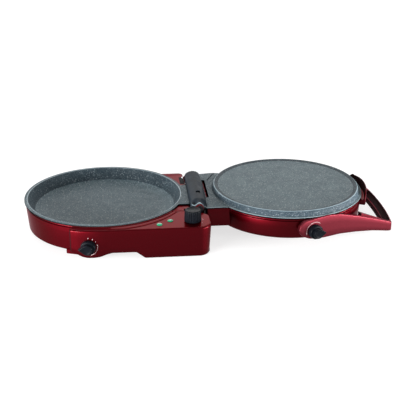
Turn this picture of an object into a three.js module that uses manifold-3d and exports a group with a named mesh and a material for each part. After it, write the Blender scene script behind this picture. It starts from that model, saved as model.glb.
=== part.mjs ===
import * as THREE from 'three';
import { mergeVertices } from 'three/addons/utils/BufferGeometryUtils.js';
import Module from 'manifold-3d';

// An electric pizza maker, standing open with its lid laid flat beside the base.
// Millimetres, +Z up. The base is built round the centre of its pan on the table,
// the lid round the centre of its plate, and the whole is centred at the end.

// Clearances and fineness
const FIT_GAP = 0.3;
const SWING_GAP = 1.2;
const OVERRUN = 6;
const MERGE_DISTANCE = 0.001;
const ROUND_STEPS = 60;
const SMALL_STEPS = 16;
const SCREW_STEPS = 8;
const HIDDEN_STEPS = 36;
const ARC_STEPS = 8;
const CURVE_STEPS = 3;

// Heights above the table
const RIM_HEIGHT = 65.5;
const DECK_DROP = 3.7;
const HOUSING_FOOT_HEIGHT = 6.5;
const PANEL_FOOT_HEIGHT = 1;
const DECK_HEIGHT = RIM_HEIGHT - DECK_DROP;

// Housing walls
const WALL = 2.5;
const WALL_DRAFT = 3.5;
const WALL_FOOT_ROUND = 3;
const GROOVE_HEIGHT = 4.4;
const GROOVE_DEPTH = 1.3;

// Lower pan
const PAN_RADIUS = 165;
const PAN_RIM_THICKNESS = 3;
const PAN_LIP_WIDTH = 5;
const PAN_LIP_ROUND = 2;
const PAN_DEPTH = 25;
const PAN_WALL_LEAN = 13;
const PAN_FLOOR_ROUND = 6;
const PAN_WALL = 2.6;
const PAN_TAB_FRONT = 68;
const PAN_TAB_BACK = 38;
const PAN_UNDERSIDE = RIM_HEIGHT - PAN_DEPTH - PAN_WALL;
const PAN_SEAT = RIM_HEIGHT - PAN_RIM_THICKNESS - FIT_GAP;

// Hinge
const HINGE_SETBACK = 25.9;
const CLOSED_GAP = 1;
const ROD_RADIUS = 4;
const COVER_HALF_WIDTH = 16.5;
const COVER_HEIGHT = 12.8;
const COVER_WALL = 3;
const COVER_HALF_LENGTH = 91;
const COVER_SKIRT = 5;
const KNUCKLE_WIDTH = 5;
const EAR_THICKNESS = 6;
const EAR_RADIUS = 8;
const EAR_ROOT = 12;
const EAR_DEPTH = 22;
const EAR_DROP = 6;
const CLIP_WIDTH = 1.2;
const CLIP_RADIUS = 7;
const ROD_TAIL = 1.5;
const HINGE_REACH = PAN_RADIUS + HINGE_SETBACK;
const HINGE_HEIGHT = RIM_HEIGHT + CLOSED_GAP / 2;
const EAR_INNER = COVER_HALF_LENGTH + SWING_GAP;
const EAR_OUTER = EAR_INNER + EAR_THICKNESS;
const ROD_HALF_LENGTH = EAR_OUTER + FIT_GAP + CLIP_WIDTH + ROD_TAIL;

// Base housing: round wall and hinge block
const HOUSING_INSET = 3;
const BLOCK_BACK = 118;
const BLOCK_TAB_STEP = 2;
const BLOCK_ROUND = 10;
const POCKET_DEPTH = 14;
const POCKET_WIDTH = 12;
const COVER_LIP_WIDTH = 6;
const COVER_LIP_THICKNESS = 1.6;
const PLATE_THICKNESS = 2.5;
const HOUSING_RADIUS = PAN_RADIUS - HOUSING_INSET;
const PAN_TAB_END = HINGE_REACH - COVER_HALF_WIDTH - SWING_GAP - FIT_GAP;
const BLOCK_REACH = PAN_TAB_END - BLOCK_TAB_STEP;
const BLOCK_FRONT = EAR_OUTER;
const COVER_TOP = HOUSING_FOOT_HEIGHT + PLATE_THICKNESS;

// Control housing: front panel and deck
const PANEL_DEPTH = 19;
const PANEL_SEAM_ANGLE = 22;
const PANEL_EDGE_ROUND = 3;
const BOX_PAST_HINGE = 17.1;
const BOX_CORNER_SHARE = 0.35;
const BOX_BACK_CORNER_SHARE = 0.27;
const BOX_BACK_GAP = 9;
const COLLAR_SHIFT_RIGHT = 5;
const COLLAR_SHIFT_FRONT = 16;
const COLLAR_INSET = 1.5;
const COLLAR_RISE = 2;
const COLLAR_EDGE_INSET = 4;
const RIM_CLEARANCE = 0.6;
const BOSS_LEFT = 56;
const BOSS_MIDDLE = 28;
const BOSS_FOOT_HEIGHT = 4.6;
const BOSS_SHOULDER = 14;
const BOSS_SHOULDER_RISE = 1.4;
const RECESS_HEIGHT = 14;
const RECESS_LEFT = 10;
const RECESS_RIGHT = 60;
const RECESS_END = 77;
const PANEL_RADIUS = HOUSING_RADIUS + PANEL_DEPTH;
const BOX_REACH = HINGE_REACH + BOX_PAST_HINGE;
const BOX_BACK = EAR_OUTER + BOX_BACK_GAP;
const BOX_DEPTH = PANEL_RADIUS - BOX_BACK;

// Feet and bottom screws
const FOOT_POST_RADIUS = 9;
const FOOT_PAD_RADIUS = 7.5;
const FOOT_PAD_HEIGHT = 1.5;
const FOOT_RING_INSET = 14;
const FOOT_ANGLE = 115;
const FOOT_CORNER_INSET = 22;
const FOOT_WALL_OVERLAP = 1;
const SCREW_RADIUS = 1.6;
const SCREW_HEAD_RADIUS = 3.2;
const SCREW_HEAD_HEIGHT = 1.8;
const SCREW_GRIP = 12;
const PLATE_BOSS_RADIUS = 4.5;
const PLATE_BOSS_INSET = 26;
const BOTTOM_SCREW_COUNT = 4;
const BOTTOM_SCREW_START = 45;

// Heaters and reflectors
const ELEMENT_RADIUS = 100;
const ELEMENT_TUBE = 3.25;
const ELEMENT_GAP_ANGLE = 24;
const ELEMENT_SIDES = 8;
const ELEMENT_STEPS = 32;
const ELEMENT_LEG = 15;
const REFLECTOR_INSET = 36;
const REFLECTOR_FLARE = 10;
const REFLECTOR_DEPTH = 11;
const REFLECTOR_SHEET = 0.8;
const LEG_HOLE_GAP = 1;

// Knobs, shafts and what they turn
const SHAFT_RADIUS = 3;
const SHAFT_DEPTH = 11;
const SHAFT_REACH = 11;
const KNOB_LIFT = 0.6;
const DIAL_RADIUS = 15;
const DIAL_TAPER = 1;
const DIAL_HEIGHT = 10.5;
const GRIP_RADIUS = 10.5;
const GRIP_POINT = 18;
const GRIP_HEIGHT = 18;
const TIMER_KNOB_RADIUS = 16.2;
const TIMER_KNOB_HEIGHT = 23.5;
const TIMER_KNOB_EDGE = 1.5;
const TIMER_FLUTES = 24;
const TIMER_FLUTE_DEPTH = 0.8;
const THERMOSTAT_WIDTH = 26;
const THERMOSTAT_HEIGHT = 22;
const THERMOSTAT_DEPTH = 15;
const LOWER_DIAL_ANGLE = 10.1;
const LOWER_DIAL_HEIGHT = 28.5;
const WINDOW_MARGIN = 4;
const TIMER_FROM_END = 35.8;
const TIMER_FROM_FRONT = 34;
const TIMER_BODY_RADIUS = 20;
const TIMER_BODY_HEIGHT = 28;

// Lamps, gland and terminals
const LENS_RADIUS = 5.6;
const LENS_STEM_RADIUS = 4.2;
const LENS_DOME = 2.6;
const LENS_STEM = 5;
const LAMP_RADIUS = 3.5;
const LAMP_HEIGHT = 14;
const POWER_LENS_FROM_END = 101.5;
const POWER_LENS_FROM_FRONT = 21;
const READY_LENS_FROM_END = 79.5;
const READY_LENS_FROM_FRONT = 37.2;
const GLAND_RADIUS = 8;
const GLAND_FLANGE_RADIUS = 11;
const GLAND_BORE = 3.6;
const GLAND_FLANGE = 3;
const GLAND_TAIL = 6;
const GLAND_FROM_END = 34;
const GLAND_HEIGHT = 24;
const TERMINAL_LENGTH = 60;
const TERMINAL_WIDTH = 18;

// Upper plate
const PLATE_INSET = 4;
const PLATE_FLANGE_THICKNESS = 2.8;
const PLATE_FLANGE_WIDTH = 5;
const PLATE_RISE = 10.9;
const PLATE_EDGE_WIDTH = 6;
const PLATE_EDGE_DROP = 3.4;
const PLATE_WALL = 3.8;
const WEB_HALF_WIDTH = 91.6;
const SLOT_LEFT = 16.1;
const SLOT_WIDTH = 6.5;
const SLOT_FRONT = 38;
const SLOT_BACK = 61;
const COVER_SCREW_FRONT = 37;
const COVER_SCREW_SIDE = 1.6;
const PLATE_RADIUS = PAN_RADIUS - PLATE_INSET;
const PLATE_TOP = RIM_HEIGHT + PLATE_RISE;
const PLATE_UNDERSIDE = PLATE_TOP - PLATE_WALL;
const FLANGE_UNDERSIDE = RIM_HEIGHT - PLATE_FLANGE_THICKNESS;
const LID_SEAT = FLANGE_UNDERSIDE - FIT_GAP;

// Lid housing
const LID_INSET = 1;
const LID_BOTTOM_HEIGHT = 17.7;
const LID_BOTTOM_ROUND = 6;
const LID_DRAFT = 3.1;
const NECK_FROM_HINGE = 14.1;
const NECK_HALF_WIDTH = 91;
const NECK_BOTTOM_HEIGHT = 23;
const LID_POST_RADIUS = 6;
const PLATE_BOSS_LENGTH = 20;
const PLATE_SCREW_COUNT = 3;
const PLATE_SCREW_START = 60;
const LID_SCREW_RECESS = 3;
const LID_RADIUS = PLATE_RADIUS - LID_INSET;

// Rim guard
const GUARD_CLEARANCE = 1;
const GUARD_THICKNESS = 5;
const GUARD_LOW = 44;
const GUARD_HIGH = 74;
const GUARD_ROOT_HEIGHT = 10;
const GUARD_HALF_ANGLE = 23;
const GUARD_SCREW_ANGLE = 12;
const GUARD_INNER = PAN_RADIUS + GUARD_CLEARANCE;
const GUARD_OUTER = GUARD_INNER + GUARD_THICKNESS;

// Handle
const ARM_TURN = 20.7;
const ARM_OFFSET = 3.6;
const ARM_THICKNESS = 9;
const HUB_LEFT = 63.8;
const HUB_MIDDLE_HEIGHT = 44;
const HUB_TOP_HEIGHT = 62;
const ARM_REACH = 161.3;
const ARM_TIP_TOP = 18.5;
const ARM_TOP_HEIGHT = 65.2;
const ARM_LOW_HEIGHT = 17.6;
const BAR_THICKNESS = 7;
const BAR_BOW = 6;
const BAR_STEPS = 8;
const UPPER_DIAL_SHIFT = 29.5;
const UPPER_DIAL_HEIGHT = 37.1;
const HUB_CAP_RADIUS = 11;
const HUB_CAP_HEIGHT = 3;
const HANDLE_SCREW_SHIFT = 6;
const ARM_PLANE = PLATE_RADIUS + ARM_OFFSET;

// The arm's outline beyond its hub, as shares of its reach and of its height
const ARM_TOP_SHARES = [[0.03, 1], [0.2, 0.945], [0.36, 0.825], [0.48, 0.74], [0.72, 0.55], [0.88, 0.4]];
const ARM_LOW_SHARES = [[0.81, 0.09], [0.69, 0.15], [0.44, 0.235], [0.2, 0.275]];

function finish(name, color, roughness, metalness = 0) {
  return new THREE.MeshStandardMaterial({ name, color, roughness, metalness });
}

const RED = finish('painted_red', 0x7a1c24, 0.35, 0.2);
const STONE = finish('stone_coat', 0x5f6a6e, 0.6, 0.1);
const BLACK = finish('black_plastic', 0x101317, 0.35);
const GREEN = finish('green_lens', 0x29a880, 0.15);
const STEEL = finish('steel', 0xa9adb0, 0.35, 1);
const ALUMINIUM = finish('aluminium', 0xc9cbcc, 0.3, 1);
const RUBBER = finish('rubber', 0x1b1b1c, 0.9);
const WHITE = finish('white_plastic', 0xe5e0d4, 0.5);
const GLASS = finish('lamp_glass', 0xf2e6d0, 0.1);

const wasm = await Module();
wasm.setup();

// A three.js geometry as a solid that can be joined to others and cut.
function solid(geometry) {
  const bare = geometry.clone();
  bare.deleteAttribute('normal');
  bare.deleteAttribute('uv');
  const merged = mergeVertices(bare, MERGE_DISTANCE);
  const corners = merged.attributes.position;
  const faces = [];
  let volume = 0;
  const [a, b, c] = [new THREE.Vector3(), new THREE.Vector3(), new THREE.Vector3()];
  for (let i = 0; i < merged.index.count; i += 3) {
    const face = [0, 1, 2].map((k) => merged.index.getX(i + k));
    if (face[0] === face[1] || face[1] === face[2] || face[2] === face[0]) continue;
    a.fromBufferAttribute(corners, face[0]);
    b.fromBufferAttribute(corners, face[1]);
    c.fromBufferAttribute(corners, face[2]);
    volume += a.dot(b.cross(c));
    faces.push(face);
  }
  if (volume < 0) faces.forEach((face) => face.reverse());
  const triVerts = new Uint32Array(faces.flat());
  const vertProperties = new Float32Array(corners.array);
  return new wasm.Manifold(new wasm.Mesh({ numProp: 3, vertProperties, triVerts }));
}

function piece(name, body, material) {
  const found = body.getMesh();
  const geometry = new THREE.BufferGeometry();
  geometry.setAttribute('position', new THREE.BufferAttribute(new Float32Array(found.vertProperties), 3));
  geometry.setIndex(new THREE.BufferAttribute(new Uint32Array(found.triVerts), 1));
  geometry.computeVertexNormals();
  const mesh = new THREE.Mesh(geometry, material);
  mesh.name = name;
  return mesh;
}

const joined = (...bodies) => bodies.reduce((sum, body) => sum.add(body));
const radians = THREE.MathUtils.degToRad;
const polar = (radius, angle) => [radius * Math.cos(radians(angle)), radius * Math.sin(radians(angle))];

// A path of radius and height, turned round the upright axis.
function turned(path, steps = ROUND_STEPS) {
  return solid(new THREE.LatheGeometry(path.getPoints(CURVE_STEPS), steps).rotateX(Math.PI / 2));
}

// A path through straight corners, given as [across, up].
function cornered(points, Kind = THREE.Path) {
  const path = new Kind();
  path.moveTo(...points[0]);
  points.slice(1).forEach((point) => path.lineTo(...point));
  path.closePath();
  return path;
}

// A plan outline raised from one height to another.
function raised(shape, low, high, steps = ARC_STEPS) {
  const depth = high - low;
  const geometry = new THREE.ExtrudeGeometry(shape, { depth, bevelEnabled: false, curveSegments: steps });
  return solid(geometry.translate(0, 0, low));
}

// A side outline, given across and up, carried along Y.
function carried(shape, front, back, steps = ARC_STEPS) {
  const depth = back - front;
  const geometry = new THREE.ExtrudeGeometry(shape, { depth, bevelEnabled: false, curveSegments: steps });
  return solid(geometry.rotateX(Math.PI / 2).translate(0, back, 0));
}

function block(left, right, front, back, low, high) {
  const corners = [[left, front], [right, front], [right, back], [left, back]];
  return raised(cornered(corners, THREE.Shape), low, high);
}

function drum(radius, low, high, x = 0, y = 0, steps = SMALL_STEPS) {
  const geometry = new THREE.CylinderGeometry(radius, radius, high - low, steps);
  return solid(geometry.rotateX(Math.PI / 2).translate(x, y, (low + high) / 2));
}

// A drum lying along Y at the hinge axis's height, x measured in the group's own frame.
function hingeDrum(radius, front, back, x, steps = SMALL_STEPS) {
  const geometry = new THREE.CylinderGeometry(radius, radius, back - front, steps);
  return solid(geometry.translate(x, (front + back) / 2, HINGE_HEIGHT));
}

// A countersunk piece of hardware: head below, shank above, about its own axis.
function screwBody(shank) {
  const head = drum(SCREW_HEAD_RADIUS, -SCREW_HEAD_HEIGHT, 0, 0, 0, SCREW_STEPS);
  return head.add(drum(SCREW_RADIUS, -SCREW_HEAD_HEIGHT / 2, shank, 0, 0, SCREW_STEPS));
}

// The bore that a screw's shank passes through, with its gap.
function screwBore(low, high, x = 0, y = 0) {
  return drum(SCREW_RADIUS + FIT_GAP, low, high, x, y, SCREW_STEPS);
}

const object = new THREE.Group();
const base = new THREE.Group();
const lid = new THREE.Group();
lid.position.x = 2 * HINGE_REACH;
object.add(base, lid);

function put(group, mesh, x = 0, y = 0, z = 0) {
  mesh.position.set(x, y, z);
  group.add(mesh);
  return mesh;
}

// Places about the pan where bottom screws and feet stand
const bossRing = PAN_RADIUS - PLATE_BOSS_INSET;
const bottomScrewPlaces = [];
for (let i = 0; i < BOTTOM_SCREW_COUNT; i += 1) {
  bottomScrewPlaces.push(polar(bossRing, BOTTOM_SCREW_START + (360 / BOTTOM_SCREW_COUNT) * i));
}
const footRing = HOUSING_RADIUS - FOOT_RING_INSET;
const footCorner = FOOT_POST_RADIUS + FOOT_WALL_OVERLAP;
const wallFeet = [
  polar(footRing, -FOOT_ANGLE),
  polar(footRing, FOOT_ANGLE),
  [BLOCK_REACH - footCorner, BLOCK_BACK - footCorner],
];
const boxFoot = [BOX_REACH - FOOT_CORNER_INSET, FOOT_CORNER_INSET - PANEL_RADIUS];
const footPostLow = FOOT_PAD_HEIGHT + FIT_GAP;
const footPost = ([x, y], high) => drum(FOOT_POST_RADIUS, footPostLow, high, x, y);

// Base housing. The outside is the round wall with the hinge block beside it.
function roundOutside() {
  const path = new THREE.Path();
  const grooveLow = PAN_SEAT - GROOVE_HEIGHT;
  path.moveTo(0, HOUSING_FOOT_HEIGHT);
  path.lineTo(HOUSING_RADIUS - WALL_DRAFT - WALL_FOOT_ROUND, HOUSING_FOOT_HEIGHT);
  path.lineTo(HOUSING_RADIUS - WALL_DRAFT, HOUSING_FOOT_HEIGHT + WALL_FOOT_ROUND);
  path.lineTo(HOUSING_RADIUS, grooveLow - GROOVE_DEPTH);
  path.lineTo(HOUSING_RADIUS - GROOVE_DEPTH, grooveLow);
  path.lineTo(HOUSING_RADIUS - GROOVE_DEPTH, PAN_SEAT);
  path.lineTo(0, PAN_SEAT);
  return turned(path);
}

// The room inside the round wall, with a step at its foot that the bottom cover bears on.
function roundInside() {
  const foot = HOUSING_RADIUS - WALL_DRAFT - WALL;
  const throat = HOUSING_RADIUS - WALL;
  const lip = foot - COVER_LIP_WIDTH;
  const lipLow = COVER_TOP + FIT_GAP;
  const path = new THREE.Path();
  path.moveTo(0, HOUSING_FOOT_HEIGHT - OVERRUN);
  path.lineTo(foot - WALL_FOOT_ROUND, HOUSING_FOOT_HEIGHT - OVERRUN);
  path.lineTo(foot - WALL_FOOT_ROUND, lipLow);
  path.lineTo(lip, lipLow);
  path.lineTo(lip, lipLow + COVER_LIP_THICKNESS);
  path.lineTo(foot, lipLow + COVER_LIP_THICKNESS);
  path.lineTo(throat, PAN_SEAT - GROOVE_HEIGHT - GROOVE_DEPTH);
  path.lineTo(throat, PAN_SEAT + OVERRUN);
  path.lineTo(0, PAN_SEAT + OVERRUN);
  return turned(path);
}

// Plan of the hinge block, drawn in by an inset, with round corners at its far end.
function blockOutline(inset) {
  const right = BLOCK_REACH - inset;
  const front = inset - BLOCK_FRONT;
  const back = BLOCK_BACK - inset;
  const round = BLOCK_ROUND - inset;
  const shape = new THREE.Shape();
  shape.moveTo(0, front);
  shape.lineTo(right, front);
  shape.lineTo(right, back - round);
  shape.absarc(right - round, back - round, round, 0, Math.PI / 2, false);
  shape.lineTo(0, back);
  return shape;
}

function ear(front) {
  const root = BLOCK_REACH - EAR_ROOT;
  const slope = EAR_RADIUS * Math.SQRT1_2;
  const arm = cornered([
    [root, DECK_HEIGHT - EAR_DROP - EAR_DEPTH],
    [HINGE_REACH + slope, HINGE_HEIGHT - slope],
    [HINGE_REACH - slope, HINGE_HEIGHT + slope],
    [root, DECK_HEIGHT - EAR_DROP],
  ], THREE.Shape);
  const back = front + EAR_THICKNESS;
  const bore = hingeDrum(ROD_RADIUS + FIT_GAP, front - OVERRUN, back + OVERRUN, HINGE_REACH);
  return carried(arm, front, back).add(hingeDrum(EAR_RADIUS, front, back, HINGE_REACH)).subtract(bore);
}

const glandPlace = [BLOCK_REACH - GLAND_FROM_END, BLOCK_BACK, GLAND_HEIGHT];

// Where the thermostat behind the front panel stands in the round wall.
const lowerDial = polar(PANEL_RADIUS, -90 - LOWER_DIAL_ANGLE);

function baseHousing() {
  const outside = roundOutside().add(raised(blockOutline(0), HOUSING_FOOT_HEIGHT, DECK_HEIGHT));
  const blockRoom = raised(blockOutline(WALL), HOUSING_FOOT_HEIGHT - OVERRUN, DECK_HEIGHT - WALL);
  const room = roundInside().add(blockRoom);
  const pocket = block(
    BLOCK_REACH - POCKET_WIDTH, BLOCK_REACH + OVERRUN,
    -BLOCK_FRONT - OVERRUN, POCKET_WIDTH - BLOCK_FRONT,
    DECK_HEIGHT - POCKET_DEPTH, DECK_HEIGHT + OVERRUN,
  );
  const windowSide = THERMOSTAT_WIDTH / 2 + WINDOW_MARGIN;
  const windowRise = THERMOSTAT_HEIGHT / 2 + WINDOW_MARGIN;
  const window = block(
    lowerDial[0] - windowSide, lowerDial[0] + windowSide,
    -PANEL_RADIUS, WALL + 2 * OVERRUN - HOUSING_RADIUS,
    LOWER_DIAL_HEIGHT - windowRise + WINDOW_MARGIN, LOWER_DIAL_HEIGHT + windowRise,
  );
  const gland = drum(GLAND_RADIUS + FIT_GAP, -OVERRUN, OVERRUN)
    .rotate([90, 0, 0]).translate(glandPlace);
  const postHigh = COVER_TOP + FIT_GAP + COVER_LIP_THICKNESS;
  const posts = joined(...wallFeet.map((place) => footPost(place, postHigh)));
  return outside.subtract(room).subtract(pocket).subtract(window).subtract(gland)
    .add(posts).add(ear(-EAR_OUTER)).add(ear(EAR_INNER));
}

put(base, piece('base_housing', baseHousing(), RED));

// How deep behind a flat plane a round wall lies, at a distance along that plane.
function wallDepth(plane, wallRadius, along) {
  return plane - Math.sqrt(wallRadius ** 2 - along ** 2);
}

// Control housing. Its plan follows the round wall at a distance, then the box's straight sides.
function controlOutline(inset) {
  const radius = PANEL_RADIUS - inset;
  const seam = radians(-90 - PANEL_SEAM_ANGLE) + inset / radius;
  const right = BOX_REACH - inset;
  const corner = BOX_CORNER_SHARE * BOX_DEPTH - inset;
  const backCorner = BOX_BACK_CORNER_SHARE * BOX_DEPTH - inset;
  const back = -BOX_BACK - inset;
  const inner = HOUSING_RADIUS - PANEL_DEPTH;
  const shape = new THREE.Shape();
  shape.moveTo(inner * Math.cos(seam), inner * Math.sin(seam));
  shape.lineTo(radius * Math.cos(seam), radius * Math.sin(seam));
  shape.absarc(0, 0, radius, seam, -Math.PI / 2, false);
  shape.absarc(right - corner, corner - radius, corner, -Math.PI / 2, 0, false);
  shape.absarc(right - backCorner, back - backCorner, backCorner, 0, Math.PI / 2, false);
  shape.lineTo(BLOCK_REACH - inset, back);
  shape.lineTo(BLOCK_REACH - inset, -BLOCK_FRONT - FIT_GAP - inset);
  shape.lineTo(HINGE_REACH / 2, -BLOCK_FRONT - FIT_GAP - inset);
  return shape;
}

// The bottom line of the front panel: a round boss under the dial, a recess, then the box's foot.
function bottomLine(lift) {
  const shoulder = BOSS_FOOT_HEIGHT + BOSS_SHOULDER_RISE;
  const boss = new THREE.SplineCurve([
    new THREE.Vector2(-BOSS_LEFT, RECESS_HEIGHT),
    new THREE.Vector2(-BOSS_MIDDLE - BOSS_SHOULDER, shoulder),
    new THREE.Vector2(-BOSS_MIDDLE, BOSS_FOOT_HEIGHT),
    new THREE.Vector2(-BOSS_MIDDLE + BOSS_SHOULDER, shoulder),
    new THREE.Vector2(RECESS_LEFT, RECESS_HEIGHT),
  ]);
  return [
    [-PANEL_RADIUS, RECESS_HEIGHT + lift],
    ...boss.getPoints(2 * ARC_STEPS).map(({ x, y }) => [x, y + lift]),
    [RECESS_RIGHT, RECESS_HEIGHT + lift],
    [RECESS_END, PANEL_FOOT_HEIGHT + lift],
    [BOX_REACH + OVERRUN, PANEL_FOOT_HEIGHT + lift],
  ];
}

// What lies between the bottom line raised by one lift and by another, or all below the first.
function bottomBand(lowLift, highLift) {
  const upper = bottomLine(highLift);
  const lower = bottomLine(lowLift).reverse();
  return carried(cornered([...upper, ...lower], THREE.Shape), -PANEL_RADIUS - OVERRUN, 0);
}

const belowPanel = bottomBand(-PANEL_RADIUS, 0);
const timerPlace = [BOX_REACH - TIMER_FROM_END, TIMER_FROM_FRONT - PANEL_RADIUS];
const lensPlaces = [
  [BOX_REACH - POWER_LENS_FROM_END, POWER_LENS_FROM_FRONT - PANEL_RADIUS],
  [BOX_REACH - READY_LENS_FROM_END, READY_LENS_FROM_FRONT - PANEL_RADIUS],
];

// The panel's outside has a softened top edge, so it is raised with a bevel.
function controlOutside() {
  const body = DECK_HEIGHT - 2 * PANEL_EDGE_ROUND;
  const geometry = new THREE.ExtrudeGeometry(controlOutline(PANEL_EDGE_ROUND), {
    depth: body,
    bevelSize: PANEL_EDGE_ROUND,
    bevelThickness: PANEL_EDGE_ROUND,
    bevelSegments: CURVE_STEPS,
    curveSegments: ARC_STEPS,
  });
  const edged = solid(geometry.translate(0, 0, PANEL_EDGE_ROUND));
  const straight = raised(controlOutline(0), 0, DECK_HEIGHT / 2);
  return edged.add(straight);
}

// The raised collar on the deck: a crescent between the pan's rim and a circle set forward of it.
function collar() {
  const high = DECK_HEIGHT + COLLAR_RISE;
  const low = DECK_HEIGHT - WALL;
  const outer = drum(
    PAN_RADIUS - COLLAR_INSET, low, high,
    COLLAR_SHIFT_RIGHT, -COLLAR_SHIFT_FRONT, ROUND_STEPS,
  );
  const bound = raised(controlOutline(COLLAR_EDGE_INSET), low, high);
  return outer.intersect(bound);
}

function controlHousing() {
  const room = raised(controlOutline(WALL), -OVERRUN, DECK_HEIGHT - WALL);
  const round = drum(HOUSING_RADIUS + FIT_GAP, -OVERRUN, DECK_HEIGHT + OVERRUN, 0, 0, ROUND_STEPS);
  const rim = drum(PAN_RADIUS + RIM_CLEARANCE, DECK_HEIGHT, RIM_HEIGHT + OVERRUN, 0, 0, ROUND_STEPS);
  const lensHoles = lensPlaces.map(([x, y]) => (
    drum(LENS_STEM_RADIUS + FIT_GAP, DECK_HEIGHT - OVERRUN, DECK_HEIGHT + OVERRUN, x, y)
  ));
  const shaftHole = SHAFT_RADIUS + FIT_GAP;
  const timerHole = drum(shaftHole, DECK_HEIGHT - OVERRUN, DECK_HEIGHT + OVERRUN, ...timerPlace);
  const dialHole = onPanel(drum(shaftHole, -OVERRUN, OVERRUN));
  return controlOutside().add(collar()).subtract(room).subtract(round).subtract(rim).subtract(belowPanel)
    .subtract(joined(...lensHoles, timerHole, dialHole));
}

// Turns a body from its own upright axis to the dial's axis on the front panel.
function onPanel(body) {
  return body.rotate([90, 0, -LOWER_DIAL_ANGLE]).translate([...lowerDial, LOWER_DIAL_HEIGHT]);
}

put(base, piece('control_housing', controlHousing(), RED));

// Bottom covers. The round one runs on under the hinge block.
function baseBottomCover() {
  const radius = HOUSING_RADIUS - WALL_DRAFT - WALL - WALL_FOOT_ROUND - FIT_GAP;
  const plate = drum(radius, HOUSING_FOOT_HEIGHT, COVER_TOP, 0, 0, ROUND_STEPS)
    .add(raised(blockOutline(WALL + FIT_GAP), HOUSING_FOOT_HEIGHT, COVER_TOP));
  const clear = wallFeet.map(([x, y]) => (
    drum(FOOT_POST_RADIUS + FIT_GAP, 0, COVER_TOP + OVERRUN, x, y)
  ));
  const holes = bottomScrewPlaces.map(([x, y]) => (
    screwBore(0, COVER_TOP + OVERRUN, x, y)
  ));
  return plate.subtract(joined(...clear, ...holes));
}

put(base, piece('base_bottom_cover', baseBottomCover(), BLACK));

function controlBottomCover() {
  const plan = raised(controlOutline(WALL + 2 * FIT_GAP), 0, DECK_HEIGHT / 2);
  const band = bottomBand(PANEL_FOOT_HEIGHT, PANEL_FOOT_HEIGHT + PLATE_THICKNESS);
  const round = drum(HOUSING_RADIUS + FIT_GAP, -OVERRUN, DECK_HEIGHT, 0, 0, ROUND_STEPS);
  return plan.intersect(band).add(footPost(boxFoot, PANEL_FOOT_HEIGHT + PLATE_THICKNESS)).subtract(round);
}

put(base, piece('control_bottom_cover', controlBottomCover(), BLACK));

[...wallFeet, boxFoot].forEach(([x, y], i) => {
  put(base, piece(`foot_pad_${i + 1}`, drum(FOOT_PAD_RADIUS, 0, FOOT_PAD_HEIGHT), RUBBER), x, y);
});

bottomScrewPlaces.forEach(([x, y], i) => {
  const shank = PLATE_THICKNESS + SCREW_GRIP;
  put(base, piece(`bottom_screw_${i + 1}`, screwBody(shank), STEEL), x, y, HOUSING_FOOT_HEIGHT - FIT_GAP);
});

// Lower pan: a dish with a flat rim, a tab to the hinge and bosses that the bottom screws draw on.
function lowerPan() {
  const floor = RIM_HEIGHT - PAN_DEPTH;
  const lip = PAN_RADIUS - PAN_LIP_WIDTH;
  const wallTop = lip - PAN_LIP_ROUND;
  const wallFoot = wallTop - PAN_WALL_LEAN;
  const under = PAN_SEAT + FIT_GAP;
  const path = new THREE.Path();
  path.moveTo(0, floor);
  path.lineTo(wallFoot - PAN_FLOOR_ROUND, floor);
  path.quadraticCurveTo(wallFoot, floor, wallFoot + PAN_LIP_ROUND, floor + PAN_FLOOR_ROUND);
  path.lineTo(wallTop, RIM_HEIGHT - PAN_LIP_ROUND);
  path.quadraticCurveTo(wallTop + PAN_LIP_ROUND / 2, RIM_HEIGHT, lip, RIM_HEIGHT);
  path.lineTo(PAN_RADIUS, RIM_HEIGHT);
  path.lineTo(PAN_RADIUS, under);
  path.lineTo(wallTop + PAN_LIP_ROUND / 2, under);
  path.lineTo(wallFoot + PAN_WALL, PAN_UNDERSIDE + PAN_WALL);
  path.lineTo(wallFoot - PAN_WALL, PAN_UNDERSIDE);
  path.lineTo(0, PAN_UNDERSIDE);
  const tab = block(PAN_RADIUS / 2, PAN_TAB_END, -PAN_TAB_FRONT, PAN_TAB_BACK, under, RIM_HEIGHT)
    .subtract(drum(lip, 0, RIM_HEIGHT + OVERRUN, 0, 0, ROUND_STEPS));
  const bossLow = COVER_TOP + FIT_GAP;
  const bossHigh = PAN_UNDERSIDE + PAN_WALL / 2;
  const bosses = bottomScrewPlaces.map(([x, y]) => drum(PLATE_BOSS_RADIUS, bossLow, bossHigh, x, y));
  const bores = bottomScrewPlaces.map(([x, y]) => (
    screwBore(bossLow - OVERRUN, bossLow + SCREW_GRIP + FIT_GAP, x, y)
  ));
  return turned(path).add(tab).add(joined(...bosses)).subtract(joined(...bores));
}

put(base, piece('lower_pan', lowerPan(), STONE));

// A tubular heater: an open ring under its plate, with a leg at each end.
const legPlaces = [-1, 1].map((side) => polar(ELEMENT_RADIUS, 180 + (side * ELEMENT_GAP_ANGLE) / 2));

class OpenRing extends THREE.Curve {
  getPoint(t) {
    const angle = 180 + ELEMENT_GAP_ANGLE / 2 + t * (360 - ELEMENT_GAP_ANGLE);
    return new THREE.Vector3(...polar(ELEMENT_RADIUS, angle), 0);
  }
}

function heater(height) {
  const section = new THREE.Shape();
  section.absarc(0, 0, ELEMENT_TUBE, 0, 2 * Math.PI, false);
  const ring = new THREE.ExtrudeGeometry(section, {
    steps: ELEMENT_STEPS,
    extrudePath: new OpenRing(),
    curveSegments: ELEMENT_SIDES / 2,
  });
  const legs = legPlaces.map(([x, y]) => drum(ELEMENT_TUBE, -ELEMENT_LEG, 0, x, y, ELEMENT_SIDES));
  return solid(ring).add(joined(...legs)).translate([0, 0, height]);
}

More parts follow.
